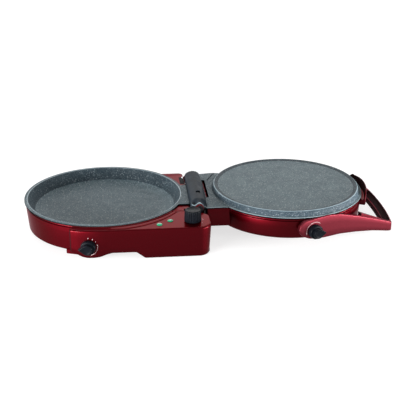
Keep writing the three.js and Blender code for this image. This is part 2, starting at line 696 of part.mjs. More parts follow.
// A thin dish that throws the heat up, its rim at a height and its floor below.
function reflector(rimHeight, radius) {
  const floor = rimHeight - REFLECTOR_DEPTH;
  const path = cornered([
    [0, floor],
    [radius - REFLECTOR_FLARE, floor],
    [radius, rimHeight],
    [radius - REFLECTOR_SHEET, rimHeight],
    [radius - REFLECTOR_FLARE - REFLECTOR_SHEET, floor + REFLECTOR_SHEET],
    [0, floor + REFLECTOR_SHEET],
  ]);
  const holes = legPlaces.map(([x, y]) => (
    drum(ELEMENT_TUBE + LEG_HOLE_GAP, floor - OVERRUN, floor + OVERRUN, x, y)
  ));
  return turned(path, HIDDEN_STEPS).subtract(joined(...holes));
}

const lowerHeaterHeight = PAN_UNDERSIDE - FIT_GAP - ELEMENT_TUBE;
const reflectorRadius = PAN_RADIUS - REFLECTOR_INSET;
put(base, piece('lower_heating_element', heater(lowerHeaterHeight), STEEL));
put(base, piece('lower_reflector', reflector(PAN_UNDERSIDE - FIT_GAP, reflectorRadius), ALUMINIUM));

const terminalLow = COVER_TOP + FIT_GAP;
const terminalHigh = lowerHeaterHeight - ELEMENT_LEG - FIT_GAP;
const terminalBlock = block(
  -ELEMENT_RADIUS - TERMINAL_WIDTH / 2, TERMINAL_WIDTH / 2 - ELEMENT_RADIUS,
  -TERMINAL_LENGTH / 2, TERMINAL_LENGTH / 2,
  terminalLow, terminalHigh,
);
put(base, piece('terminal_block', terminalBlock, WHITE));

// Lamps on the deck, each a domed lens with its lamp below.
function lens() {
  const path = new THREE.Path();
  path.moveTo(0, -LENS_STEM);
  path.lineTo(LENS_STEM_RADIUS, -LENS_STEM);
  path.lineTo(LENS_STEM_RADIUS, FIT_GAP);
  path.lineTo(LENS_RADIUS, FIT_GAP);
  path.quadraticCurveTo(LENS_RADIUS, LENS_DOME, 0, LENS_DOME);
  return turned(path, SMALL_STEPS);
}

['power', 'ready'].forEach((name, i) => {
  const lampTop = -LENS_STEM - FIT_GAP;
  const lamp = drum(LAMP_RADIUS, lampTop - LAMP_HEIGHT, lampTop);
  put(base, piece(`${name}_lens`, lens(), GREEN), ...lensPlaces[i], DECK_HEIGHT);
  put(base, piece(`${name}_lamp`, lamp, GLASS), ...lensPlaces[i], DECK_HEIGHT);
});

// Cord gland in the back of the hinge block.
function cordGland() {
  const path = cornered([
    [GLAND_BORE, -GLAND_TAIL],
    [GLAND_RADIUS, -GLAND_TAIL],
    [GLAND_RADIUS, FIT_GAP],
    [GLAND_FLANGE_RADIUS, FIT_GAP],
    [GLAND_FLANGE_RADIUS, GLAND_FLANGE],
    [GLAND_BORE, GLAND_FLANGE],
    [GLAND_BORE, -GLAND_TAIL],
  ]);
  return turned(path, SMALL_STEPS);
}

put(base, piece('cord_gland', cordGland(), RUBBER), ...glandPlace).rotation.x = -Math.PI / 2;

// Hinge rod in the ears, with a clip at each end.
const rod = hingeDrum(ROD_RADIUS, -ROD_HALF_LENGTH, ROD_HALF_LENGTH, HINGE_REACH);
put(base, piece('hinge_rod', rod, STEEL));
[['front', -1], ['back', 1]].forEach(([name, side]) => {
  const near = side * (EAR_OUTER + FIT_GAP);
  const far = near + side * CLIP_WIDTH;
  const [low, high] = [Math.min(near, far), Math.max(near, far)];
  const clip = hingeDrum(CLIP_RADIUS, low, high, HINGE_REACH)
    .subtract(hingeDrum(ROD_RADIUS + FIT_GAP, low - OVERRUN, high + OVERRUN, HINGE_REACH));
  put(base, piece(`hinge_clip_${name}`, clip, STEEL));
});

// Knobs stand on their own upright axis, with the face that carries them at height 0.
function shaft(depth) {
  return drum(SHAFT_RADIUS, FIT_GAP - depth, SHAFT_REACH);
}

function shaftBore(depth) {
  return drum(SHAFT_RADIUS + FIT_GAP, -depth, SHAFT_REACH + FIT_GAP);
}

function pointerKnob() {
  const [top, height] = [DIAL_RADIUS - DIAL_TAPER, DIAL_HEIGHT - KNOB_LIFT];
  const skirt = new THREE.CylinderGeometry(top, DIAL_RADIUS, height, 2 * SMALL_STEPS);
  const side = Math.acos(GRIP_RADIUS / GRIP_POINT);
  const grip = new THREE.Shape();
  grip.absarc(0, 0, GRIP_RADIUS, side, -side, false);
  grip.lineTo(GRIP_POINT, 0);
  return solid(skirt.rotateX(Math.PI / 2).translate(0, 0, (DIAL_HEIGHT + KNOB_LIFT) / 2))
    .add(raised(grip, DIAL_HEIGHT / 2, GRIP_HEIGHT)).subtract(shaftBore(0));
}

function timerKnob() {
  const outline = new THREE.Shape();
  for (let i = 0; i < 2 * TIMER_FLUTES; i += 1) {
    const radius = TIMER_KNOB_RADIUS - TIMER_KNOB_EDGE - (i % 2) * TIMER_FLUTE_DEPTH;
    const [x, y] = polar(radius, (180 / TIMER_FLUTES) * i);
    if (i === 0) outline.moveTo(x, y);
    else outline.lineTo(x, y);
  }
  const geometry = new THREE.ExtrudeGeometry(outline, {
    depth: TIMER_KNOB_HEIGHT - KNOB_LIFT - 2 * TIMER_KNOB_EDGE,
    bevelSize: TIMER_KNOB_EDGE,
    bevelThickness: TIMER_KNOB_EDGE,
    bevelSegments: 1,
  });
  return solid(geometry.translate(0, 0, KNOB_LIFT + TIMER_KNOB_EDGE)).subtract(shaftBore(0));
}

// A thermostat switch hangs below its carrying face by a lead, and its shaft stands in a blind bore.
function thermostat(lead) {
  const side = THERMOSTAT_WIDTH / 2;
  const rise = THERMOSTAT_HEIGHT / 2;
  const depth = lead + THERMOSTAT_DEPTH;
  return block(-side, side, -rise, rise, -depth, -lead).subtract(
    drum(SHAFT_RADIUS + FIT_GAP, -lead - SHAFT_DEPTH - FIT_GAP, OVERRUN),
  );
}

const timerLead = WALL + FIT_GAP;
const timerBody = drum(TIMER_BODY_RADIUS, -timerLead - TIMER_BODY_HEIGHT, -timerLead, 0, 0, 2 * SMALL_STEPS)
  .subtract(drum(SHAFT_RADIUS + FIT_GAP, -timerLead - SHAFT_DEPTH - FIT_GAP, OVERRUN));
put(base, piece('timer_mechanism', timerBody, STEEL), ...timerPlace, DECK_HEIGHT);
put(base, piece('timer_shaft', shaft(timerLead + SHAFT_DEPTH), STEEL), ...timerPlace, DECK_HEIGHT);
put(base, piece('timer_knob', timerKnob(), BLACK), ...timerPlace, DECK_HEIGHT);

// The front panel's dial stands square to the round panel, its pointer to the left.
const panelDial = new THREE.Group();
panelDial.position.set(...lowerDial, LOWER_DIAL_HEIGHT);
panelDial.rotation.set(Math.PI / 2, 0, radians(-LOWER_DIAL_ANGLE), 'ZXY');
base.add(panelDial);
const panelLead = wallDepth(PANEL_RADIUS, PANEL_RADIUS - WALL, THERMOSTAT_WIDTH / 2) + FIT_GAP;
put(panelDial, piece('lower_thermostat', thermostat(panelLead), STEEL));
put(panelDial, piece('lower_thermostat_shaft', shaft(panelLead + SHAFT_DEPTH), STEEL));
put(panelDial, piece('lower_thermostat_knob', pointerKnob(), BLACK)).rotation.z = Math.PI;

// Lid housing, about the centre of the plate.
const plateScrewPlaces = [];
for (let i = 0; i < PLATE_SCREW_COUNT; i += 1) {
  plateScrewPlaces.push(polar(bossRing, PLATE_SCREW_START + (360 / PLATE_SCREW_COUNT) * i));
}
const bossLow = PLATE_UNDERSIDE - PLATE_BOSS_LENGTH;

function lidRound(inset, low, high) {
  const foot = LID_RADIUS - LID_DRAFT - inset;
  const path = new THREE.Path();
  const grooveLow = LID_SEAT - GROOVE_HEIGHT;
  const neck = inset > 0 ? 0 : GROOVE_DEPTH;
  path.moveTo(0, low);
  path.lineTo(foot - LID_BOTTOM_ROUND, low);
  path.quadraticCurveTo(foot, low, foot, low + LID_BOTTOM_ROUND);
  path.lineTo(LID_RADIUS - inset, grooveLow - GROOVE_DEPTH);
  path.lineTo(LID_RADIUS - inset - neck, grooveLow);
  path.lineTo(LID_RADIUS - inset - neck, high);
  path.lineTo(0, high);
  return turned(path);
}

function lidNeck(inset, low, high) {
  return block(
    NECK_FROM_HINGE - HINGE_REACH + inset, 0,
    inset - NECK_HALF_WIDTH, NECK_HALF_WIDTH - inset,
    low, high,
  );
}

function lidHousing() {
  const outside = lidRound(0, LID_BOTTOM_HEIGHT, LID_SEAT).add(lidNeck(0, NECK_BOTTOM_HEIGHT, LID_SEAT));
  const room = lidRound(WALL, LID_BOTTOM_HEIGHT + WALL, LID_SEAT + OVERRUN)
    .add(lidNeck(WALL, NECK_BOTTOM_HEIGHT + WALL, LID_SEAT + OVERRUN));
  const postHigh = bossLow - FIT_GAP;
  const posts = plateScrewPlaces.map(([x, y]) => (
    drum(LID_POST_RADIUS, LID_BOTTOM_HEIGHT + WALL / 2, postHigh, x, y)
  ));
  const seat = LID_BOTTOM_HEIGHT + LID_SCREW_RECESS + SCREW_HEAD_HEIGHT;
  const bores = plateScrewPlaces.map(([x, y]) => (
    screwBore(0, postHigh + OVERRUN, x, y)
      .add(drum(SCREW_HEAD_RADIUS + FIT_GAP, 0, seat, x, y))
  ));
  const hubBores = [frontArm, rearArm].map((place) => place(handleScrewBore()));
  const shaftHole = frontArm(dialPlace(drum(SHAFT_RADIUS + FIT_GAP, -ARM_PLANE / 2, 0)));
  const guardBores = guardScrewAngles.map((angle) => guardPlace(screwBore(-OVERRUN, OVERRUN), angle));
  return outside.subtract(room).add(joined(...posts))
    .subtract(joined(...bores, ...hubBores, shaftHole, ...guardBores));
}

// The handle's arms are drawn along, up and out from the foot of the perpendicular to the plate's centre.
function frontArm(body) {
  return body.rotate([90, 0, 0]).translate([0, -ARM_PLANE, 0]).rotate([0, 0, ARM_TURN]);
}

function rearArm(body) {
  return frontArm(body).mirror([0, 1, 0]);
}

const dialPlace = (body) => body.translate([-UPPER_DIAL_SHIFT, UPPER_DIAL_HEIGHT, 0]);

const lidInner = LID_RADIUS - LID_DRAFT - WALL;
const screwDepth = wallDepth(ARM_PLANE, lidInner, HANDLE_SCREW_SHIFT + SCREW_HEAD_RADIUS) + FIT_GAP;
const handleScrewBore = () => (
  screwBore(-screwDepth - OVERRUN, -ARM_THICKNESS / 2)
    .translate([-HANDLE_SCREW_SHIFT, UPPER_DIAL_HEIGHT, 0])
);

// The outline of one arm: round hub at its left, top and bottom lines running down to the tip.
function armOutline() {
  const height = ARM_TOP_HEIGHT;
  const top = ARM_TOP_SHARES.map(([along, up]) => new THREE.Vector2(along * ARM_REACH, up * height));
  const low = ARM_LOW_SHARES.map(([along, up]) => new THREE.Vector2(along * ARM_REACH, up * height));
  const shape = new THREE.Shape();
  shape.moveTo(ARM_REACH, 0);
  shape.lineTo(ARM_REACH, ARM_TIP_TOP);
  shape.splineThru(top.reverse());
  shape.lineTo(-HUB_LEFT + WALL, HUB_TOP_HEIGHT);
  shape.quadraticCurveTo(-HUB_LEFT, HUB_TOP_HEIGHT, -HUB_LEFT, HUB_MIDDLE_HEIGHT);
  shape.quadraticCurveTo(-HUB_LEFT, ARM_LOW_HEIGHT + WALL, -UPPER_DIAL_SHIFT, ARM_LOW_HEIGHT + WALL / 2);
  shape.lineTo(0, ARM_LOW_HEIGHT);
  shape.splineThru(low.reverse());
  return shape;
}

function crossbar() {
  const [tipAlong, tipOut] = [ARM_REACH, ARM_PLANE];
  const turn = radians(ARM_TURN);
  const tipX = tipAlong * Math.cos(turn) + tipOut * Math.sin(turn);
  const tipY = tipOut * Math.cos(turn) - tipAlong * Math.sin(turn);
  const shape = new THREE.Shape();
  shape.moveTo(tipX, -tipY);
  shape.quadraticCurveTo(tipX + 2 * BAR_BOW, 0, tipX, tipY);
  shape.lineTo(tipX - BAR_THICKNESS, tipY);
  shape.quadraticCurveTo(tipX + 2 * BAR_BOW - BAR_THICKNESS, 0, tipX - BAR_THICKNESS, -tipY);
  return raised(shape, 0, ARM_TIP_TOP, BAR_STEPS);
}

function handle() {
  const arm = raised(armOutline(), -ARM_THICKNESS, 0, CURVE_STEPS);
  const hole = dialPlace(drum(SHAFT_RADIUS + FIT_GAP, -ARM_THICKNESS - OVERRUN, OVERRUN));
  const capHole = dialPlace(drum(HUB_CAP_RADIUS / 2 + FIT_GAP, -ARM_THICKNESS / 2, OVERRUN));
  const front = frontArm(arm.subtract(hole).subtract(handleScrewBore()));
  const rear = rearArm(arm.subtract(capHole).subtract(handleScrewBore()));
  const wall = lidRound(-FIT_GAP, LID_BOTTOM_HEIGHT - FIT_GAP, PLATE_TOP);
  const flange = drum(PLATE_RADIUS + FIT_GAP, LID_SEAT, PLATE_TOP, 0, 0, ROUND_STEPS);
  return joined(front, rear, crossbar()).subtract(wall).subtract(flange);
}

// Rim guard: a curved lip beyond the plate's far edge, standing on a root that meets the wall.
const guardScrewAngles = [-GUARD_SCREW_ANGLE, GUARD_SCREW_ANGLE];
const guardScrewHeight = GUARD_LOW + GUARD_ROOT_HEIGHT / 2;

function guardPlace(body, angle) {
  return body.rotate([0, 90, 0]).translate([LID_RADIUS, 0, guardScrewHeight]).rotate([0, 0, angle]);
}

function rimGuard() {
  const ring = turned(cornered([
    [LID_RADIUS - OVERRUN, GUARD_LOW],
    [GUARD_OUTER, GUARD_LOW],
    [GUARD_OUTER, GUARD_HIGH],
    [GUARD_INNER, GUARD_HIGH],
    [GUARD_INNER, GUARD_LOW + GUARD_ROOT_HEIGHT],
    [LID_RADIUS - OVERRUN, GUARD_LOW + GUARD_ROOT_HEIGHT],
    [LID_RADIUS - OVERRUN, GUARD_LOW],
  ]));
  const reach = 2 * GUARD_OUTER;
  const wedge = cornered([
    [0, 0],
    polar(reach, -GUARD_HALF_ANGLE),
    polar(reach, GUARD_HALF_ANGLE),
  ], THREE.Shape);
  const bores = guardScrewAngles.map((angle) => guardPlace(screwBore(-OVERRUN, OVERRUN), angle));
  return ring.intersect(raised(wedge, 0, PLATE_TOP + OVERRUN))
    .subtract(lidRound(-FIT_GAP, 0, PLATE_TOP)).subtract(joined(...bores));
}

put(lid, piece('lid_housing', lidHousing(), RED));
put(lid, piece('handle', handle(), RED));
put(lid, piece('rim_guard', rimGuard(), RED));

plateScrewPlaces.forEach(([x, y], i) => {
  const height = LID_BOTTOM_HEIGHT + LID_SCREW_RECESS + SCREW_HEAD_HEIGHT - FIT_GAP;
  const shank = bossLow + SCREW_GRIP - height;
  put(lid, piece(`plate_screw_${i + 1}`, screwBody(shank), STEEL), x, y, height);
});

guardScrewAngles.forEach((angle, i) => {
  const inward = WALL + LID_DRAFT + FIT_GAP;
  const screw = guardPlace(screwBody(OVERRUN + inward - FIT_GAP).translate([0, 0, -inward]), angle);
  put(lid, piece(`guard_screw_${i + 1}`, screw, STEEL));
});

[['front', frontArm], ['rear', rearArm]].forEach(([name, place]) => {
  const shank = screwDepth - ARM_THICKNESS / 2 - FIT_GAP;
  const screw = screwBody(shank).translate([-HANDLE_SCREW_SHIFT, UPPER_DIAL_HEIGHT, -screwDepth]);
  put(lid, piece(`handle_screw_${name}`, place(screw), STEEL));
});

const hubCap = drum(HUB_CAP_RADIUS, FIT_GAP, HUB_CAP_HEIGHT)
  .add(drum(HUB_CAP_RADIUS / 2, FIT_GAP - ARM_THICKNESS / 2, HUB_CAP_HEIGHT / 2));
put(lid, piece('rear_hub_cap', rearArm(dialPlace(hubCap)), BLACK));

// The handle's dial, its pointer to the right.
const hubDial = new THREE.Group();
const hubTurn = radians(ARM_TURN);
hubDial.position.set(
  ARM_PLANE * Math.sin(hubTurn) - UPPER_DIAL_SHIFT * Math.cos(hubTurn),
  -ARM_PLANE * Math.cos(hubTurn) - UPPER_DIAL_SHIFT * Math.sin(hubTurn),
  UPPER_DIAL_HEIGHT,
);
hubDial.rotation.set(Math.PI / 2, 0, hubTurn, 'ZXY');
lid.add(hubDial);
const hubLead = wallDepth(ARM_PLANE, lidInner, UPPER_DIAL_SHIFT + THERMOSTAT_WIDTH / 2) + FIT_GAP;
put(hubDial, piece('upper_thermostat', thermostat(hubLead), STEEL));
put(hubDial, piece('upper_thermostat_shaft', shaft(hubLead + SHAFT_DEPTH), STEEL));
put(hubDial, piece('upper_thermostat_knob', pointerKnob(), BLACK));

// Upper plate: a raised griddle with a flange, a web to the hinge and the hollow cover over the rod.
function griddle() {
  const disc = PLATE_RADIUS - PLATE_FLANGE_WIDTH;
  const flat = disc - PLATE_EDGE_WIDTH;
  const path = new THREE.Path();
  path.moveTo(0, PLATE_TOP);
  path.lineTo(flat, PLATE_TOP);
  path.quadraticCurveTo(
    disc - PLATE_EDGE_WIDTH / 2, PLATE_TOP,
    disc - PLATE_WALL / 2, PLATE_TOP - PLATE_EDGE_DROP,
  );
  path.lineTo(disc, RIM_HEIGHT);
  path.lineTo(PLATE_RADIUS, RIM_HEIGHT);
  path.lineTo(PLATE_RADIUS, FLANGE_UNDERSIDE);
  path.lineTo(disc - PLATE_WALL, FLANGE_UNDERSIDE);
  path.lineTo(disc - PLATE_WALL - PLATE_FLANGE_THICKNESS, PLATE_UNDERSIDE);
  path.lineTo(0, PLATE_UNDERSIDE);
  return turned(path);
}

// Half an oval over the rod, down to a skirt below its axis.
function coverOutline(inset) {
  const shape = new THREE.Shape();
  const half = COVER_HALF_WIDTH - inset;
  shape.moveTo(half, FLANGE_UNDERSIDE - HINGE_HEIGHT);
  shape.lineTo(half, 0);
  shape.absellipse(0, 0, half, COVER_HEIGHT - inset, 0, Math.PI, false, 0);
  shape.lineTo(-half, -COVER_SKIRT);
  return shape;
}

function hingeCover() {
  const place = [-HINGE_REACH, 0, HINGE_HEIGHT];
  const shell = carried(coverOutline(0), -COVER_HALF_LENGTH, COVER_HALF_LENGTH);
  const room = COVER_HALF_LENGTH - KNUCKLE_WIDTH;
  const side = COVER_HALF_WIDTH - COVER_WALL;
  const hollow = carried(coverOutline(COVER_WALL), -room, room)
    .add(block(-side, side, -room, room, -COVER_SKIRT - OVERRUN, 0));
  const bore = hingeDrum(ROD_RADIUS + FIT_GAP, -ROD_HALF_LENGTH, ROD_HALF_LENGTH, 0)
    .translate([0, 0, -HINGE_HEIGHT]);
  return shell.subtract(hollow).subtract(bore).translate(place);
}

const coverScrewPlace = [COVER_SCREW_SIDE - HINGE_REACH, -COVER_SCREW_FRONT];
const coverScrewSeat = HINGE_HEIGHT + COVER_HEIGHT - SCREW_HEAD_HEIGHT;

function upperPlate() {
  const hollowRadius = PLATE_RADIUS - PLATE_FLANGE_WIDTH;
  const webLeft = COVER_HALF_WIDTH - COVER_WALL - HINGE_REACH;
  const web = block(webLeft, 0, -WEB_HALF_WIDTH, WEB_HALF_WIDTH, FLANGE_UNDERSIDE, RIM_HEIGHT)
    .subtract(drum(hollowRadius, 0, PLATE_TOP, 0, 0, ROUND_STEPS));
  const slotLeft = SLOT_LEFT - HINGE_REACH + COVER_WALL / 2;
  const slot = block(slotLeft, slotLeft + SLOT_WIDTH, -SLOT_FRONT, SLOT_BACK, 0, RIM_HEIGHT + OVERRUN);
  const bossHigh = PLATE_UNDERSIDE + PLATE_WALL / 2;
  const bosses = plateScrewPlaces.map(([x, y]) => drum(PLATE_BOSS_RADIUS, bossLow, bossHigh, x, y));
  const bores = plateScrewPlaces.map(([x, y]) => (
    screwBore(bossLow - OVERRUN, bossLow + SCREW_GRIP + FIT_GAP, x, y)
  ));
  const headRoom = SCREW_HEAD_RADIUS + FIT_GAP;
  const screwHole = drum(headRoom, coverScrewSeat, PLATE_TOP + OVERRUN, ...coverScrewPlace)
    .add(screwBore(HINGE_HEIGHT, coverScrewSeat + OVERRUN, ...coverScrewPlace));
  return joined(griddle(), web, hingeCover(), ...bosses).subtract(joined(slot, ...bores, screwHole));
}

put(lid, piece('upper_plate', upperPlate(), STONE));

const coverScrew = screwBody(COVER_WALL).rotate([180, 0, 0]);
put(lid, piece('hinge_cover_screw', coverScrew, STEEL), ...coverScrewPlace, coverScrewSeat + FIT_GAP);

const upperHeaterHeight = PLATE_UNDERSIDE - FIT_GAP - ELEMENT_TUBE;
put(lid, piece('upper_heating_element', heater(upperHeaterHeight), STEEL));
put(lid, piece('upper_reflector', reflector(PLATE_UNDERSIDE - FIT_GAP, reflectorRadius), ALUMINIUM));

// The whole is centred over its footprint, standing on the table.
const bounds = new THREE.Box3().setFromObject(object);
object.position.x = -(bounds.min.x + bounds.max.x) / 2;
object.position.y = -(bounds.min.y + bounds.max.y) / 2;
object.position.z = -bounds.min.z;

export default object;
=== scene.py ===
import math

import bmesh
import bpy
import numpy as np
from mathutils import Matrix, Vector


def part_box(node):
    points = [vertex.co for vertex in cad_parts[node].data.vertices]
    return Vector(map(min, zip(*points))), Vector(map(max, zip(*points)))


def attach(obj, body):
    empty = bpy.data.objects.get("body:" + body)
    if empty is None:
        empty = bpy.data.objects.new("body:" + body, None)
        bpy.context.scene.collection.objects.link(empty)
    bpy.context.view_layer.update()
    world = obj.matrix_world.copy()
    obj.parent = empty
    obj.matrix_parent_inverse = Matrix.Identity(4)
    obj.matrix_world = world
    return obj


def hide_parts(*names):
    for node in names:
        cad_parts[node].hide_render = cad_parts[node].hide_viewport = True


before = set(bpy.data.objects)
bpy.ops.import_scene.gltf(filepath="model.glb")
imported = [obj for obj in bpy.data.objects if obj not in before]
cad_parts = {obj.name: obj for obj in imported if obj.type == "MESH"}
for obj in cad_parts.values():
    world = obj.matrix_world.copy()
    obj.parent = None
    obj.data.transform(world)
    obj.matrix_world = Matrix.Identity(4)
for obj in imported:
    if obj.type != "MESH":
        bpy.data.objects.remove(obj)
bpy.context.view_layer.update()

# The view. The open cooker is seen from the front and a little from the left, from a
# little above, by a long lens, so its two plates show as flat ovals side by side.
pan_radius = 165
pan_low, pan_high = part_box("lower_pan")
pan_centre = np.array([pan_low.x + pan_radius / 1000, (pan_low.y + pan_high.y) / 2, 0.0])


def add_object(name, data):
    """A new object with its data, linked into the scene."""
    made = bpy.data.objects.new(name, data)
    bpy.context.scene.collection.objects.link(made)
    return made


def aimed(place, direction):
    """The placement of a camera or a lamp that looks along a direction."""
    turn = Vector(direction).to_track_quat("-Z", "Y").to_matrix().to_4x4()
    return Matrix.Translation(Vector(place)) @ turn


view_azimuth, view_height, view_roll = (math.radians(d) for d in (-5.91, 22.93, 0.21))
view_target = pan_centre + (0.21357, -0.03541, 0.04)
view_reach = 1.8684
film_width, focal_pixels, photo_pixels = 36, 895.7, 416
view_back = np.array([
    math.sin(view_azimuth) * math.cos(view_height),
    -math.cos(view_azimuth) * math.cos(view_height), math.sin(view_height)])
camera = add_object("camera", bpy.data.cameras.new("camera"))
camera.data.lens = film_width * focal_pixels / photo_pixels
camera.data.sensor_width = film_width
camera.data.clip_end = 20
camera.matrix_world = (
    aimed(view_target + view_reach * view_back, -view_back) @ Matrix.Rotation(view_roll, 4, "Z"))
bpy.context.scene.camera = camera
bpy.context.scene.view_settings.view_transform = "Standard"


# Rubber feet. Four plain pads pressed into the posts under the base.
# They are soft black rubber, 15 mm across, and everything else stands on them.
def feed(node, fields):
    """Feeds a node's inputs, by name or by number: a socket is linked, a plain value is set."""
    for field, value in fields.items():
        if isinstance(value, bpy.types.NodeSocket):
            node.id_data.links.new(value, node.inputs[field])
        else:
            node.inputs[field].default_value = value
    return node


def add_node(tree, kind, fields={}, group=None):
    """A new shader node with its inputs fed; a group node is given its group first."""
    node = tree.nodes.new("ShaderNode" + kind)
    if group:
        node.node_tree = group
    return feed(node, fields)


def new_group(name, fields, results):
    """An empty node group with a named number for each field and result, and its two ends."""
    group = bpy.data.node_groups.new(name, "ShaderNodeTree")
    for field, usual in fields.items():
        side = group.interface.new_socket(field, in_out="INPUT", socket_type="NodeSocketFloat")
        side.default_value = usual
    for result in results:
        group.interface.new_socket(result, in_out="OUTPUT", socket_type="NodeSocketFloat")
    given, out = group.nodes.new("NodeGroupInput"), group.nodes.new("NodeGroupOutput")
    return group, given.outputs, out


def mottle_group():
    """Noise in two sizes over the piece's own coordinates: a slow one that runs between Low and
    High, for tone or roughness, and a fine grain around one half, for a bump's height."""
    group, given, out = new_group(
        "mottle", {"Size": 60.0, "Grain size": 900.0, "Low": 0.0, "High": 1.0}, ("Value", "Grain"))
    place = add_node(group, "TexCoord").outputs["Object"]
    slow = add_node(group, "TexNoise", {"Vector": place, "Scale": given["Size"], "Detail": 4})
    fine = add_node(group, "TexNoise", {"Vector": place, "Scale": given["Grain size"], "Detail": 1})
    spread = add_node(group, "MapRange", {
        "Value": slow.outputs["Fac"], "From Min": 0.3, "From Max": 0.7,
        "To Min": given["Low"], "To Max": given["High"]})
    feed(out, {"Value": spread.outputs["Result"], "Grain": fine.outputs["Fac"]})
    return group


mottle = mottle_group()


def sheet_colour(red, green, blue):
    """An 8-bit screen colour as the straight light values that a shader takes."""
    share = np.array([red, green, blue]) / 255
    straight = np.where(share <= 0.04045, share / 12.92, ((share + 0.055) / 1.055) ** 2.4)
    return (*straight, 1.0)


def mixed(tree, share, first, second):
    """A colour that lies between two others by a share."""
    node = add_node(tree, "Mix")
    node.data_type = "RGBA"
    return feed(node, {"Factor": share, "A": first, "B": second}).outputs["Result"]


def make_finish(name, dark, light, rough, grain, size=60, grain_size=900, **fixed):
    """A finish that wanders between two colours and two roughnesses, with a fine grain raised
    on it by so many millimetres. Every other value is set on the shader's own sockets."""
    made = bpy.data.materials.new(name)
    made.use_nodes = True
    tree = made.node_tree
    tone = add_node(tree, "Group", {"Size": size, "Grain size": grain_size}, mottle)
    polish = add_node(tree, "Group", {
        "Size": size * 2.3, "Low": rough[0], "High": rough[1]}, mottle)
    bump = add_node(tree, "Bump", {"Distance": grain / 1000, "Height": tone.outputs["Grain"]})
    feed(tree.nodes["Principled BSDF"], {
        "Base Color": mixed(
            tree, tone.outputs["Value"], sheet_colour(*dark), sheet_colour(*light)),
        "Roughness": polish.outputs["Value"],
        "Normal": bump.outputs["Normal"],
        **{socket.replace("_", " "): value for socket, value in fixed.items()}})
    return made


def circled(radius, angle, height, middle=(0, 0)):
    """Points at a radius and an angle about a middle, at a height."""
    x, y = middle[0] + radius * np.cos(angle), middle[1] + radius * np.sin(angle)
    return np.stack([x, y, np.broadcast_to(height, x.shape)], -1)


def turned(profile, middle=(0, 0), steps=128):
    """A profile of (radius, height) carried round an upright axis: rows follow the profile and
    columns come full circle."""
    radius, height = np.array(profile, float).T[..., None]
    return circled(radius, np.linspace(0, 2 * np.pi, steps + 1), height, middle)


def make_piece(name, body, grids, material, stands_for=(), sharp=38):
    """A mesh piece from grids of points in millimetres from the pan's centre on the table.
    Neighbours in a grid join into four-cornered faces, doubled points are merged so that seams
    and poles close, open ends are filled, and the faces are turned outwards."""
    corners, faces, count = [], [], 0
    for grid in grids:
        at = count + np.arange(grid[..., 0].size).reshape(grid.shape[:2])
        quads = np.stack([at[:-1, :-1], at[:-1, 1:], at[1:, 1:], at[1:, :-1]], -1)
        faces.append(quads.reshape(-1, 4))
        corners.append(grid.reshape(-1, 3) / 1000 + pan_centre)
        count += at.size
    mesh = bpy.data.meshes.new(name)
    mesh.from_pydata(np.concatenate(corners).tolist(), [], np.concatenate(faces).tolist())
    shape = bmesh.new()
    shape.from_mesh(mesh)
    bmesh.ops.remove_doubles(shape, verts=shape.verts, dist=3e-6)
    bmesh.ops.holes_fill(shape, edges=shape.edges, sides=0)
    bmesh.ops.recalc_face_normals(shape, faces=shape.faces)
    if shape.calc_volume(signed=True) < 0:
        bmesh.ops.reverse_faces(shape, faces=shape.faces)
    shape.to_mesh(mesh)
    shape.free()
    mesh.shade_smooth()
    mesh.set_sharp_from_angle(angle=math.radians(sharp))
    mesh.materials.append(material)
    made = add_object(name, mesh)
    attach(made, body)
    if stands_for:
        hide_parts(*stands_for)
    return made


rubber = make_finish("rubber", (16, 16, 17), (26, 26, 27), (0.75, 0.9), 0.05)
wall_feet = [(-62.5, -134.1), (-62.5, 134.1), (160.9, 108)]
box_foot = (186, -159)
pad = [(0, 0), (6.9, 0), (7.5, 0.5), (7.5, 1.5), (0, 1.5)]
for number, place in enumerate([*wall_feet, box_foot], 1):
    make_piece(f"rubber_foot_{number}", "base", [turned(pad, place, 48)], rubber,
               [f"foot_pad_{number}"])


# Base shell. The round red wall, the hinge block on its right with its ears, the ledge under the
# pan's tab and the shallow tray under the rod, and the foot posts. It is one moulding in metallic
# red lacquer, drawn in towards its foot, with a groove under the rim.
def lacquer(name, dark, light):
    """Metallic lacquer: flakes under a thin clear coat that dulls them at a glance."""
    return make_finish(
        name, dark, light, (0.42, 0.48), 0.002, 900, 2500, Metallic=1.0,
        Specular_Tint=(0.75, 0.42, 0.47, 1), Coat_Weight=0.25, Coat_Roughness=0.15, Coat_IOR=1.22)


red_lacquer = lacquer("red_lacquer", (58, 2, 7), (66, 4, 10))


def length(points):
    """Each point's distance from the origin, in a column."""
    return np.linalg.norm(points, axis=-1, keepdims=True)


def unit(points):
    """Each point's direction from the origin, with a length of one."""
    return points / length(points)


def rounded(corners, steps=6, closed=True):
    """Corners (x, y, radius) in order, each replaced by the arc of that radius that touches its
    two sides. An open line keeps its two ends. The arc is a rational curve of second order, from
    and to the points where it touches, drawn to the corner with the sine of half its angle."""
    table = np.array(corners, float)
    point, radius = table[:, :2], table[:, 2]
    back, ahead = unit(np.roll(point, 1, 0) - point), unit(np.roll(point, -1, 0) - point)
    half = np.arccos(np.clip((back * ahead).sum(1), -1, 1)) / 2
    cut = (radius / np.maximum(np.tan(half), 1e-6))[:, None]
    at = np.linspace(0, 1, steps + 1)[None, :, None]
    pull = np.sin(half)[:, None, None]
    first, last = (1 - at) ** 2, at ** 2
    pulled = 2 * at * (1 - at) * pull
    curve = (
        first * (point + back * cut)[:, None] + pulled * point[:, None]
        + last * (point + ahead * cut)[:, None]
    ) / (first + pulled + last)
    kept = [arc if r > 0 else corner[None] for arc, corner, r in zip(curve, point, radius)]
    if not closed:
        kept[0], kept[-1] = point[:1], point[-1:]
    return np.concatenate(kept)


